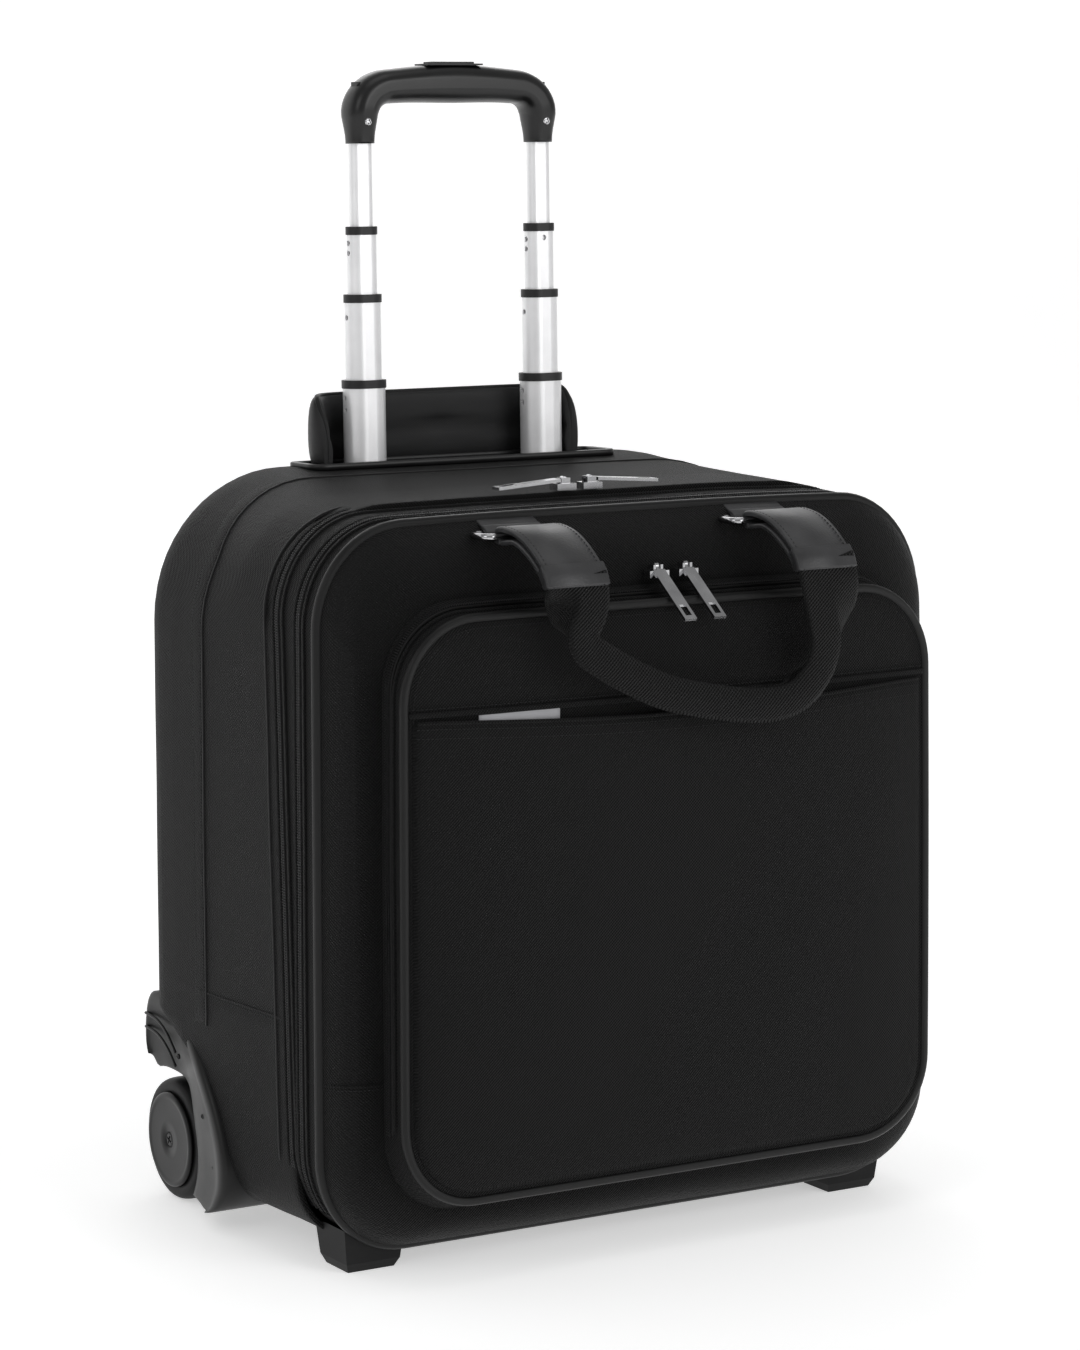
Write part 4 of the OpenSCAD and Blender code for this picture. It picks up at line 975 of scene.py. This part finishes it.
for name, sign in (("left", -1), ("right", 1)):
    low, high = span_mm("tyre_" + name)
    inner, outer = (abs(high[0]), abs(low[0])) if sign < 0 else (low[0], high[0])
    hub = span_mm("hub_" + name)
    hub_r = (hub[1][2] - hub[0][2]) / 2
    mid = (inner + outer) / 2
    half = (outer - inner) / 2
    profile = [(mid - half, hub_r + 0.3)]
    for k in range(17):
        a = math.pi * k / 16
        profile.append((mid - half * math.copysign(abs(math.cos(a)) ** 0.55, math.cos(a)),
                        wheel_r - 6.0 + 6.0 * math.sin(a) ** 0.7))
    profile.append((mid + half, hub_r + 0.3))
    tyre = lathe("wheel_tyre_" + name, profile, sign)
    tyre.data.materials.append(rubber)
    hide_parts("tyre_" + name)
    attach(tyre, "wheel_" + name)
    cap = span_mm("hub_cap_" + name)
    cap_r = (cap[1][2] - cap[0][2]) / 2
    face = max(abs(cap[0][0]), abs(cap[1][0]))
    back = min(abs(cap[0][0]), abs(cap[1][0]))
    rim = [(back, 0.05), (back, cap_r - 0.8), (back + 0.8, cap_r), (face - 1.0, cap_r), (face - 0.2, cap_r - 1.0),
           (face, cap_r - 2.4), (face - 0.3, cap_r - 3.4), (face - 0.5, cap_r - 5.0), (face - 0.2, 12.0),
           (face - 0.3, 5.4), (face - 1.5, 4.8), (face - 1.6, 0.05)]
    disc_made = disc("cap", rim, sign)
    screw = screw_head("cap_screw", place(sign * (face - 1.5), wheel_back, wheel_z), Vector((sign, 0, 0)), 4.2, 1.1,
                       1.2, 0.8)
    wheel_cap = join("wheel_cap_" + name, [paint(disc_made, cap_finish), paint(screw, moulded)])
    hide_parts("hub_cap_" + name)
    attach(wheel_cap, "wheel_" + name)
    dress(moulded, "hub_" + name)


def spline(points, steps=6):
    """A smooth line through control points of any length."""
    made = []
    n = len(points)
    for i in range(n - 1):
        p0, p1, p2, p3 = points[max(i - 1, 0)], points[i], points[i + 1], points[min(i + 2, n - 1)]
        for k in range(steps):
            t = k / steps
            made.append(tuple(0.5 * (2 * b + (c - a) * t + (2 * a - 5 * b + 4 * c - d) * t * t
                                     + (3 * b - a - 3 * c + d) * t ** 3)
                              for a, b, c, d in zip(p0, p1, p2, p3)))
    made.append(tuple(points[-1]))
    return made


lip_line = spline([(128, 10), (116, 15), (106, 28), (105, 42), (109, 57), (118, 75), (131, 92), (147, 107), (168, 120),
                   (190, 128.6), (208, 129), (219, 125), (224, 112), (224, 96), (221, 88)], 6)
well_line = [(150.0, 9.5)]
for k in range(23):
    a = math.radians(214 - 142 * k / 22)
    well_line.append((wheel_back + 45.0 * math.cos(a), wheel_z + 45.0 * math.sin(a)))
well_line.append((219.0, 86.0))


def along(line, t):
    """A point at a share of a line's length."""
    lengths = [0.0]
    for a, b in zip(line, line[1:]):
        lengths.append(lengths[-1] + math.dist(a, b))
    target = t * lengths[-1]
    for k in range(1, len(lengths)):
        if lengths[k] >= target or k == len(lengths) - 1:
            f = (target - lengths[k - 1]) / max(1e-9, lengths[k] - lengths[k - 1])
            return tuple(a + (b - a) * f for a, b in zip(line[k - 1], line[k]))


# Shares across the fin from its lip to the well, and how far each stands below the lip.
fin_section = [(0.0, None), (0.0, 3.0), (0.02, 1.2), (0.06, 0.2), (0.12, 0.0), (0.18, 0.4), (0.26, 2.2), (0.36, 3.4),
               (0.6, 4.6), (0.85, 6.4), (0.96, 7.6), (1.0, 9.5), (1.0, None)]
for name, sign in (("left", -1), ("right", 1)):
    rings = []
    for k in range(61):
        t = k / 60
        lip, inner = along(lip_line, t), along(well_line, t)
        lip_x = 211.8 - 7.8 * ease((lip[0] - 125.0) / 75.0)
        ring = []
        for share, drop in fin_section:
            b, z = (a + (c - a) * share for a, c in zip(lip, inner))
            x = 168.0 if drop is None else lip_x - drop * (0.45 + 0.55 * (1 - ease((t - 0.6) / 0.25)))
            ring.append(place(sign * x, b, z))
        rings.append(ring)
    body = outward(loft("fin", rings, (True, True)))
    plate_line = lip_line + [(221, 70), (215, 40), (200, 26), (176, 16), (150, 12), (136, 10)]
    plate = prism("plate", plate_line, sign * 164.5, sign * 170.5)
    grooves = []
    for shift in (0.0, 8.5):
        rib_line = spline([(222, 113 - shift), (206, 111.5 - shift), (190, 106 - shift), (176, 98 - shift)], 6)
        groove = [(place(sign * (209.3 - 4.6 * ease((b - 150.0) / 60.0)), b, z), Vector((sign, 0, 0)),
                   Vector((0, 0, 1))) for b, z in rib_line]
        grooves.append(sweep("rib", groove, circle_section(0.9, 8)))
    rivets = []
    for b, z in ((126, 38), (140, 66), (172, 96)):
        rivets.append(screw_head("rivet", place(sign * 207.4, b, z), Vector((sign, 0, 0)), 1.7, 0.9, 0.5, 0.4, 16))
    housing = join("wheel_arch_" + name, [paint(part, housing_finish) for part in [body, plate] + grooves + rivets])
    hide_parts("wheel_housing_" + name)
    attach(housing, "case")
dress(rubber, "foot_left", "foot_right")

# ---------------------------------------------------------------------------
# Expander band: the strip of the lid between the main zip and the second zip,
# with a folded gusset behind the second zip that lets the front swing out.
# ---------------------------------------------------------------------------
band_rings = []
for k in range(6):
    ring = []
    for x, z, nx, nz in outline(case_half, case_low, front_top, 58, 58):
        back = 21.4 + (zip_plane(z) - 0.8 - 21.4) * k / 5
        grown = top_at(back) - front_top
        lift = grown * ease((z - 200) / 200)
        p = cloth(x, back, z + lift)
        ring.append(p + Vector((nx, 0, nz)) * (crumple(p) - 0.5) * mm)
    band_rings.append(ring)
band = outward(loft("band_fabric", band_rings))
band.data.materials.append(twill)
band.data.materials.append(lining)
work = bmesh.new()
work.from_mesh(band.data)
middle = place(0, 30, 220)
if sum((f.calc_center_median() - middle).dot(f.normal) for f in work.faces) < 0:
    bmesh.ops.reverse_faces(work, faces=work.faces)
work.to_mesh(band.data)
work.free()
thicken(band, 2.4 * mm)
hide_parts("expander_band")
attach(band, "band")


def band_path(shift, back=18.4):
    return tray_path(lambda z: back + shift, low=zip_low)


second_zip = zip_line("expander_coil", band_path, welts=(5.4,))
front_welt = []
for run in strands(tray_path(lambda z: zip_plane(z) - 2.4, low=zip_low)):
    front_welt.append(paint(sweep("welt", run, welt_section), twill))
    front_welt.append(beads("welt", [[(p - a * 1.1 * mm, o, a) for p, o, a in run]], 2.4, (1.7, 0.4, 0.35), thread,
                            lift=1.3))
second_zip = join("expander_coil", [second_zip] + front_welt)
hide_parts("expander_zip")
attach(second_zip, "band")

gusset_rings = []
for back in (4.0, 8.0, 12.0, 14.5, 16.0, 17.5, 19.0, 20.5, 22.0, 24.0):
    gusset_rings.append([cloth(x, back, z) for x, z, nx, nz in
                         outline(case_half - 4.6, case_low + 4.6, front_top - 4.6, 53.4, 53.4)])
gusset = loft("gusset", gusset_rings)
work = bmesh.new()
work.from_mesh(gusset.data)
if sum((f.calc_center_median() - middle).dot(f.normal) for f in work.faces) < 0:
    bmesh.ops.reverse_faces(work, faces=work.faces)
work.to_mesh(gusset.data)
work.free()
gusset.data.materials.append(twill)
gusset.data.materials.append(lining)
thicken(gusset, 1.0 * mm)
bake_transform(gusset)

# ---------------------------------------------------------------------------
# Front panel: the domed face of the lid, padded nylon with a corded piping
# round its edge and a cross seam low down.
# ---------------------------------------------------------------------------
dome = 28.0


def front_insets(back):
    t = min(1.0, max(0.0, -back / dome))
    return 28.0 * quarter(t), 39.0 * t * t, 22.0 * quarter(t), 58.0 - 12.0 * t, 58.0 - 12.0 * t


def front_points(back, side=22, corner=14):
    s, t, f, r1, r0 = front_insets(back)
    return outline(case_half - s, case_low + f, top_at(back) - t, r1, r0, side, corner)


rings = []
for back in (15.1, 12.0, 9.0, 6.0, 3.0, 0.0, -2.5, -5, -8, -11, -14, -17, -19.5, -21.5, -23.5, -25, -26.3, -27.2,
             -27.8, -28.0):
    ring = []
    for x, z, nx, nz in front_points(back):
        p = cloth(x, back, z)
        ring.append(p + Vector((nx, -0.4 if back < -8 else 0.0, nz)) * (crumple(p) - 0.5) * mm)
    rings.append(ring)
for k in range(1, 8):
    shrink = 12.0 * k
    rings.append([cloth(x, -28.0, z) for x, z, nx, nz in
                  outline(case_half - 28 - shrink, case_low + 22 + shrink, front_top - 39 - shrink,
                          max(4.0, 46 - shrink), max(4.0, 46 - shrink))])
front = outward(loft("front_fabric", rings, (False, True)))
work = bmesh.new()
work.from_mesh(front.data)
if sum((f.calc_center_median() - place(0, 30, 220)).dot(f.normal) for f in work.faces) < 0:
    bmesh.ops.reverse_faces(work, faces=work.faces)
work.to_mesh(front.data)
work.free()
front.data.materials.append(twill)
front.data.materials.append(lining)
thicken(front, 2.8 * mm)
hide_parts("front_shell")
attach(front, "front")

cord_finish = finish("piping_cord", grey(0.0010), grey(0.0024), 0.45, weave, {"Threads": 6500.0, "Slub": 0.3},
                     bump=0.35, depth=0.0003, specular=0.3)
edge_path = []
for x, z, nx, nz in front_points(-1.5):
    out = Vector((nx, 0, nz))
    edge_path.append((cloth(x - nx * 0.9, -1.8, z - nz * 0.9), out, across_y.copy()))
piping = paint(sweep("edge_piping", edge_path, circle_section(3.5, 12), closed_path=True), cord_finish)
flange = [(p + a * 5.0 * mm - o * 0.4 * mm, o, a) for p, o, a in edge_path]
stitches = beads("piping_stitches", [flange + [flange[0]]], 2.6, (1.9, 0.45, 0.35), thread, lift=1.4)
piping = join("edge_piping", [piping, stitches])
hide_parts("front_piping")
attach(piping, "front")

front_seams = []
for run in strands(tray_path(lambda z: 13.0, low=zip_low)):
    front_seams.append(paint(sweep("welt", run, welt_section), twill))
    front_seams.append(beads("welt", [[(p - a * 1.1 * mm, o, a) for p, o, a in run]], 2.4, (1.7, 0.4, 0.35), thread,
                             lift=1.3))
for sign in (-1, 1):
    run = []
    for k in range(30):
        back = 12.0 - 40.0 * k / 29
        s = front_insets(back)[0]
        run.append((cloth(sign * (case_half - s - 0.4), back, 114.0 + 3.0 * k / 29),
                    Vector((sign, -0.5 * k / 29, 0)).normalized(), Vector((0, 0, 1))))
    front_seams.append(paint(sweep("seam", run, fold_section), twill))
    front_seams.append(beads("seam", [run], 2.6, (1.9, 0.5, 0.4), thread, across=(0, 0, 1), offset=(0, 0, -2.4),
                             lift=0.2))
front_trim = join("front_seams", front_seams)
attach(front_trim, "front")

# ---------------------------------------------------------------------------
# Front pocket: a bellied pouch with its own piping, closed by a zip round its
# sides and top. A slip panel on its face leaves a stitched slit at the top.
# ---------------------------------------------------------------------------
pocket_half, pocket_low, pocket_high, pocket_r = 180.0, 49.0, 382.0, 47.0
pocket_mid = (pocket_low + pocket_high) / 2


def face_back(x, z):
    """How far back the pocket's crowned face lies at a point."""
    u = min(1.0, abs(x / pocket_half))
    v = min(1.0, abs((z - pocket_mid) / (pocket_high - pocket_mid)))
    p = cloth(x, -56, z)
    belly = (1 - u ** 5) * (1 - v ** 5)
    return -51.5 - 6.0 * belly ** 0.6 + crumple(p, 0.7, 0.15) * belly ** 0.5


rings = []
for k in range(13):
    t = k / 12
    back = -28.2 - 22.8 * t
    sag = 1.6 * math.sin(math.pi * t)
    ring = []
    for x, z, nx, nz in outline(pocket_half + 1.0 * (1 - t), pocket_low - 10 * (1 - t) ** 1.5,
                                pocket_high + 8.0 * (1 - t) ** 1.5, pocket_r, pocket_r):
        p = cloth(x, back, z)
        ring.append(p - Vector((nx, 0, nz)) * (sag - crumple(p)) * mm)
    rings.append(ring)
for k in range(1, 26):
    inset = 177.0 * (k / 26.5) ** 1.6
    ring = []
    for x, z, nx, nz in outline(pocket_half - inset, pocket_low + inset * 0.92, pocket_high - inset * 0.92,
                                max(1.5, pocket_r - inset * 0.75), max(1.5, pocket_r - inset * 0.75)):
        ring.append(cloth(x, face_back(x, z), z))
    rings.append(ring)
pocket = outward(loft("pocket_fabric", rings, (True, True)))
pocket.data.materials.append(twill)
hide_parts("pocket_shell")
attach(pocket, "front")

rim_path = []
for x, z, nx, nz in outline(pocket_half, pocket_low, pocket_high, pocket_r, pocket_r, 30, 16):
    rim_path.append((cloth(x, -51.5, z), Vector((nx, 0, nz)), across_y.copy()))
rim = paint(sweep("rim", rim_path, circle_section(2.9, 12), closed_path=True), cord_finish)
stitch_inset = 5.6
run = []
for x, z, nx, nz in outline(pocket_half - stitch_inset, pocket_low + stitch_inset, pocket_high - stitch_inset,
                            pocket_r - 4, pocket_r - 4, 30, 16):
    run.append((cloth(x, face_back(x, z) - 0.1, z), Vector((0, -1, 0)), Vector((nx, 0, nz))))
rim_stitch = [beads("rim", [run + [run[0]]], 2.6, (1.9, 0.45, 0.4), thread, across=(0, 1, 0))]
rim = join("pocket_piping", [rim] + rim_stitch)
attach(rim, "front")

zip_box = span_mm("pocket_zip")
pocket_zip_low = zip_box[0][2]


def pocket_path(shift):
    """A path round the pocket's wall at a shift back from its zip, above the zip's ends."""
    path = []
    back = -33.2 + shift
    t = (-28.2 - back) / 22.8
    for x, z, nx, nz in outline(pocket_half + 1.0 * (1 - t), pocket_low - 10 * (1 - t) ** 1.5,
                                pocket_high + 8.0 * (1 - t) ** 1.5, pocket_r, pocket_r, 30, 16):
        if z < pocket_zip_low:
            path.append(None)
            continue
        p = cloth(x, back, z)
        out = Vector((nx, 0, nz))
        path.append((p - out * (1.6 * math.sin(math.pi * t) - crumple(p)) * mm, out, across_y.copy()))
    return path


pocket_coil = zip_line("pocket_coil", pocket_path, welts=(-5.2,))
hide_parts("pocket_zip")
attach(pocket_coil, "front")

slip_half, slip_low, slip_high = 175.0, 54.0, 326.0


def slip_top(x):
    return slip_high - 7.0 * (1 - (x / slip_half) ** 2) ** 1.5


columns, rows = 72, 56
verts, faces = [], []
for j in range(rows + 1):
    v = j / rows
    for i in range(columns + 1):
        u = -1 + 2 * i / columns
        z = slip_low + (slip_high - slip_low) * v
        narrow = 0.0
        if z < slip_low + 42:
            drop = 42 - (z - slip_low)
            narrow = 42 - math.sqrt(max(0.0, 42 ** 2 - drop ** 2))
        x = (slip_half - narrow) * math.copysign(abs(u) ** 0.85, u)
        z = slip_low + (slip_top(x) - slip_low) * v
        lift = 1.0 + 2.6 * (1 - u ** 4) * ease(v / 0.9) + 1.4 * (1 - u ** 6) * math.sin(math.pi * v) ** 0.5
        if j == 0 or i in (0, columns):
            lift = 0.3
        verts.append(cloth(x, face_back(x, z) - lift, z))
for j in range(rows):
    for i in range(columns):
        a = j * (columns + 1) + i
        faces.append((a, a + 1, a + columns + 2, a + columns + 1))
slip = new_object("slip_fabric", verts, faces)
slip.data.materials.append(twill)
slip.data.materials.append(lining)
thicken(slip, 0.9 * mm)
hem = []
for shift, rise in ((3.4, 0.0), (8.6, 0.0)):
    run = []
    for k in range(121):
        u = -1 + 2 * k / 120
        x = slip_half * 0.985 * u
        z = slip_top(x) - shift
        lift = 1.0 + 2.6 * (1 - u ** 4) + 0.25
        run.append((cloth(x, face_back(x, z) - lift - 0.25, z), Vector((0, -1, 0)), Vector((0, 0, 1))))
    hem.append(beads("hem", [run], 2.7, (2.0, 0.5, 0.45), thread, across=(0, 1, 0)))
run = []
for k in range(121):
    u = -1 + 2 * k / 120
    x = slip_half * 0.99 * u
    lift = 1.0 + 2.6 * (1 - u ** 4)
    run.append((cloth(x, face_back(x, slip_top(x)) - lift + 0.5, slip_top(x)), Vector((0, -1, 0)), Vector((0, 0, 1))))
hem.append(paint(sweep("hem", run, circle_section(1.2, 8)), twill))
slip = join("slip_fabric", [slip] + hem)
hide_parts("slip_panel")
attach(slip, "front")

lip = []
run = []
for k in range(121):
    u = -1 + 2 * k / 120
    x = 178.0 * u
    z = 329.0 + 1.5 * u * u
    run.append((cloth(x, face_back(x, z) - 0.2, z), Vector((0, -1, 0)), Vector((0, 0, 1))))
lip.append(paint(sweep("lip", run, flat_section(3.2, 1.3, 0.5)), twill))
lip.append(beads("lip", [run], 2.7, (2.0, 0.5, 0.45), thread, across=(0, 1, 0), offset=(0, 0, 3.4), lift=0.4))
upper_lip = join("slit_lip", lip)
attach(upper_lip, "front")
label_cloth = finish("pale_label", grey(0.30), grey(0.42), 0.6, weave, {"Threads": 9000.0, "Slub": 0.2}, bump=0.3)
run = [(cloth(x, face_back(x, 324) - 0.5 - 0.2 * math.sin(x * 0.3), 323.6), Vector((0, -1, 0)), Vector((0, 0, 1)))
       for x in [-133 + 53 * k / 16 for k in range(17)]]
label = paint(sweep("plain_label", run, flat_section(8.6, 0.6, 0.2)), label_cloth)
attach(label, "front")

# ---------------------------------------------------------------------------
# Carry handle: two leather anchors sewn to the front panel, a nickel ring in
# each, leather tabs, and one length of webbing folded along its middle.
# ---------------------------------------------------------------------------
leather = finish("black_leather", grey(0.0190), grey(0.0418), 0.42, grain, {"Scale": 900.0, "Crease": 1.2}, bump=0.3,
                 depth=0.0003, specular=0.45)
webbing = finish("ribbed_webbing", grey(0.0018), grey(0.009), 0.66, weave, {"Threads": 2600.0, "Slub": 0.5}, bump=1.0,
                 depth=0.0012, sheen=0.04, specular=0.15)


def strip_path(points, x, steps=8):
    """A path down the middle of a strip that runs front to back, from (back, z) control points."""
    line = spline(points, steps)
    path = []
    for k, (b, z) in enumerate(line):
        b2, z2 = line[min(k + 1, len(line) - 1)]
        b1, z1 = line[max(k - 1, 0)]
        tangent = Vector((0, b2 - b1, z2 - z1)).normalized()
        across = Vector((1, 0, 0))
        out = tangent.cross(across)
        if out.z + -0.4 * out.y < 0:
            out = -out
        path.append((place(x, b, z), out, across))
    return path


anchor_span = span_mm("handle_anchors")
ring_x = 84.0
anchors, rings_made, tabs = [], [], []
for sign in (-1, 1):
    x = sign * ring_x
    run = strip_path([(anchor_span[1][1] - seam_y / mm + 1.0, 425.4), (-9.0, 426.6), (-13.0, 426.0), (-16.5, 423.4),
                      (-15.0, 420.0), (-9.0, 419.5)], x)
    anchors.append(paint(sweep("anchor", run, flat_section(38.0, 1.4, 0.5, low=-0.8)), leather))
    run = strip_path([(0.5, 430.4), (-5.0, 428.8), (-10.0, 426.6)], x, 6)
    anchors.append(paint(sweep("anchor", run, flat_section(38.0, 1.6, 0.5, low=-0.6)), leather))
    corners = []
    half, front_bar, rear_bar, r = 26.7, -29.4, -11.9, 5.0
    for cx, cb, turn in ((half - r, rear_bar - r, 0), (r - half, rear_bar - r, 90), (r - half, front_bar + r, 180),
                         (half - r, front_bar + r, 270)):
        for k in range(9):
            a = math.radians(turn + 90 * k / 8)
            corners.append((x + cx + r * math.cos(a), cb + r * math.sin(a), math.cos(a), math.sin(a)))
    run = [(place(px, pb, 422.95), Vector((nx, nb, 0)), Vector((0, 0, 1))) for px, pb, nx, nb in corners]
    rings_made.append(paint(sweep("ring", run, circle_section(2.15, 12), closed_path=True), bright))
    line = [(-31.5, 419.6), (-27.3, 420.6), (-26.5, 423.6), (-29.0, 426.6), (-38.0, 427.0), (-52.0, 424.5),
            (-65.0, 418.5), (-76.0, 410.5), (-82.0, 404.0), (-84.0, 399.0)]
    run = strip_path(line, x, 6)
    tabs.append(paint(sweep("tab", run, flat_section(38.5, 2.0, 0.7, low=-1.0)), leather))
    lower = [(-33.0, 419.4), (-45.0, 421.0), (-55.0, 418.4), (-66.0, 412.6), (-75.0, 405.6), (-79.6, 399.0)]
    run2 = strip_path(lower, x, 6)
    tabs.append(paint(sweep("tab", run2, flat_section(38.5, 1.6, 0.6, low=-1.0)), leather))
    for side in (-1, 1):
        edge = [(p + a * side * 16.6 * mm, o, a) for p, o, a in run[20:]]
        tabs.append(beads("tab", [edge], 3.0, (2.2, 0.5, 0.45), thread, across=(1, 0, 0), lift=2.05))
    band_run = strip_path([(-76.4, 409.6), (-80.5, 405.0), (-83.2, 399.0)], x, 6)
    tabs.append(paint(sweep("tab", band_run, flat_section(40.5, 3.6, 0.8, low=-2.0)), leather))
anchor_pieces = join("ring_anchors", anchors)
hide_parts("handle_anchors")
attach(anchor_pieces, "front")
ring_pieces = join("nickel_rings", rings_made)
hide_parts("handle_rings")
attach(ring_pieces, "rings")
tab_pieces = join("leather_tabs", tabs)
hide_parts("handle_tabs")
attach(tab_pieces, "strap")

fold_line = spline([(-84, 404, 0.0), (-82, 390, 0.2), (-87, 373, 0.6), (-82, 358, 0.9), (-67, 347, 1.0),
                    (-47, 336, 1.0), (-24, 326, 1.0), (2, 319.5, 1.0), (30, 314.5, 1.0), (56, 313.5, 1.0),
                    (76, 320, 0.9), (90, 336, 0.6), (95, 355, 0.35), (92, 372, 0.12), (88, 388, 0.0), (84, 404, 0.0)], 7)
leaf = 19.0
rings = []
for k, (x, z, shut) in enumerate(fold_line):
    x1, z1, _ = fold_line[max(k - 1, 0)]
    x2, z2, _ = fold_line[min(k + 1, len(fold_line) - 1)]
    tangent = Vector((x2 - x1, 0, z2 - z1)).normalized()
    inward = Vector((-tangent.z, 0, tangent.x))
    turn = math.pi * shut
    base = place(x, -83.0 + 4.0 * ease(shut), z)
    ring = []
    for m in range(-8, 9):
        s = m / 8
        if s >= 0:
            q = inward * leaf * s
            q += Vector((0, -1, 0)) * 1.3 * math.sin(math.pi * s) * shut
        else:
            direction = -inward * math.cos(turn) + Vector((0, 1, 0)) * math.sin(turn)
            q = direction * leaf * -s + Vector((0, 1, 0)) * 2.6 * shut * (-s) ** 0.4
        ring.append(base + q * mm)
    rings.append(ring)
strap = open_loft("folded_webbing", rings)
strap.data.materials.append(webbing)
wall = strap.modifiers.new("wall", "SOLIDIFY")
wall.thickness = 2.2 * mm
wall.offset = 0.0
bake_modifiers(strap)
outward(strap)
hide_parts("handle_webbing")
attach(strap, "strap")

# ---------------------------------------------------------------------------
# Zip sliders: die-cast nickel heads with long looped pulls that hinge on them.
# ---------------------------------------------------------------------------
dress(bright, *[part + "_" + side for part in ("main_slider", "main_pull", "pocket_slider", "pocket_pull")
                for side in ("left", "right")])

# ---------------------------------------------------------------------------
# Bay flap: a padded flap behind the trolley, creased along its middle, whose
# ends curl forward round the bay. It folds back on a sewn hinge.
# ---------------------------------------------------------------------------
flap_fabric = finish("flap_nylon", grey(0.0102), grey(0.0238), 0.5, weave, {"Threads": 6000.0, "Slub": 0.5}, bump=0.35,
                     depth=0.0003, sheen=0.04, specular=0.3)
plan = spline([(-92, 190), (-94, 199), (-90, 208), (-80, 215), (-58, 218), (0, 218), (50, 218), (70, 215), (80, 208),
               (83, 199), (81, 190)], 10)
rings = []
sides = 36
for k, (x, b) in enumerate(plan):
    x1, b1 = plan[max(k - 1, 0)]
    x2, b2 = plan[min(k + 1, len(plan) - 1)]
    tangent = Vector((x2 - x1, b2 - b1, 0)).normalized()
    out = Vector((-tangent.y, tangent.x, 0))
    s = k / (len(plan) - 1)
    end = min(1.0, min(s, 1 - s) / 0.19)
    end = math.sqrt(1 - (1 - end) ** 2)
    tall = 4.0 + 39.2 * end
    thick = 3.2 + 2.4 * end
    ring = []
    for j in range(sides):
        a = 2 * math.pi * j / sides
        c, v = math.cos(a), math.sin(a)
        w = thick * math.copysign(abs(c) ** 0.75, c)
        h = math.copysign(abs(v) ** 0.85, v)
        z = 443.2 + tall * (0.5 + 0.5 * h)
        crease_depth = 2.6 * math.exp(-((z - 462.0 - 3.0 * math.exp(-(x / 20.0) ** 2)) / 3.2) ** 2) * end
        pinch = 1.5 * math.exp(-(x / 9.0) ** 2) * math.exp(-((z - 464.0) / 8.0) ** 2)
        if c < 0:
            w += crease_depth + pinch
        p = place(x, b, z)
        ring.append(p + out * (w + 0.5 * crumple(p)) * mm)
    rings.append(ring)
flap = outward(loft("flap_pad", rings, (True, True)))
edge = [(rings[k][sides // 4] + Vector((0, 0, -0.4 * mm)), Vector((0, 0, 1)),
         (rings[min(k + 1, len(rings) - 1)][0] - rings[max(k - 1, 0)][0]).normalized().cross(Vector((0, 0, 1))))
        for k in range(len(rings))]
flap_rim = paint(sweep("rim", edge, circle_section(1.7, 10)), cord_finish)
flap = join("flap_pad", [paint(flap, flap_fabric), flap_rim])
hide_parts("handle_flap")
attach(flap, "flap")

bay_box = span_mm("bay_cup")
bay_half = bay_box[1][0]
rim_line = []
for x, y, nx, ny in [(x, z - 17.0, nx, nz) for x, z, nx, nz in outline(bay_half + 1.5, 0.0, 34.0, 7.0, 7.0, 30, 8)]:
    rim_line.append((trolley(x, y, 0.4), Vector((0, 0, 1)), Vector((nx, ny, 0))))
bay_rim = paint(sweep("bay_rim", rim_line, flat_section(5.0, 1.6, 0.6, low=-2.0), closed_path=True), moulded)
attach(bay_rim, "case")
hinge_rows = [(209.0, 441.0), (213.0, 442.6), (217.0, 443.6), (221.0, 443.2), (223.6, 440.0), (222.0, 434.0),
              (217.0, 429.0)]
hinge_strip = open_loft("flap_hinge_strip",
                        [[place(-92.0 + 184.0 * k / 48, b, z) for k in range(49)] for b, z in hinge_rows])
hinge_strip.data.materials.append(tape)
thicken(hinge_strip, 1.0 * mm, 0)
outward(hinge_strip)
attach(hinge_strip, "case")
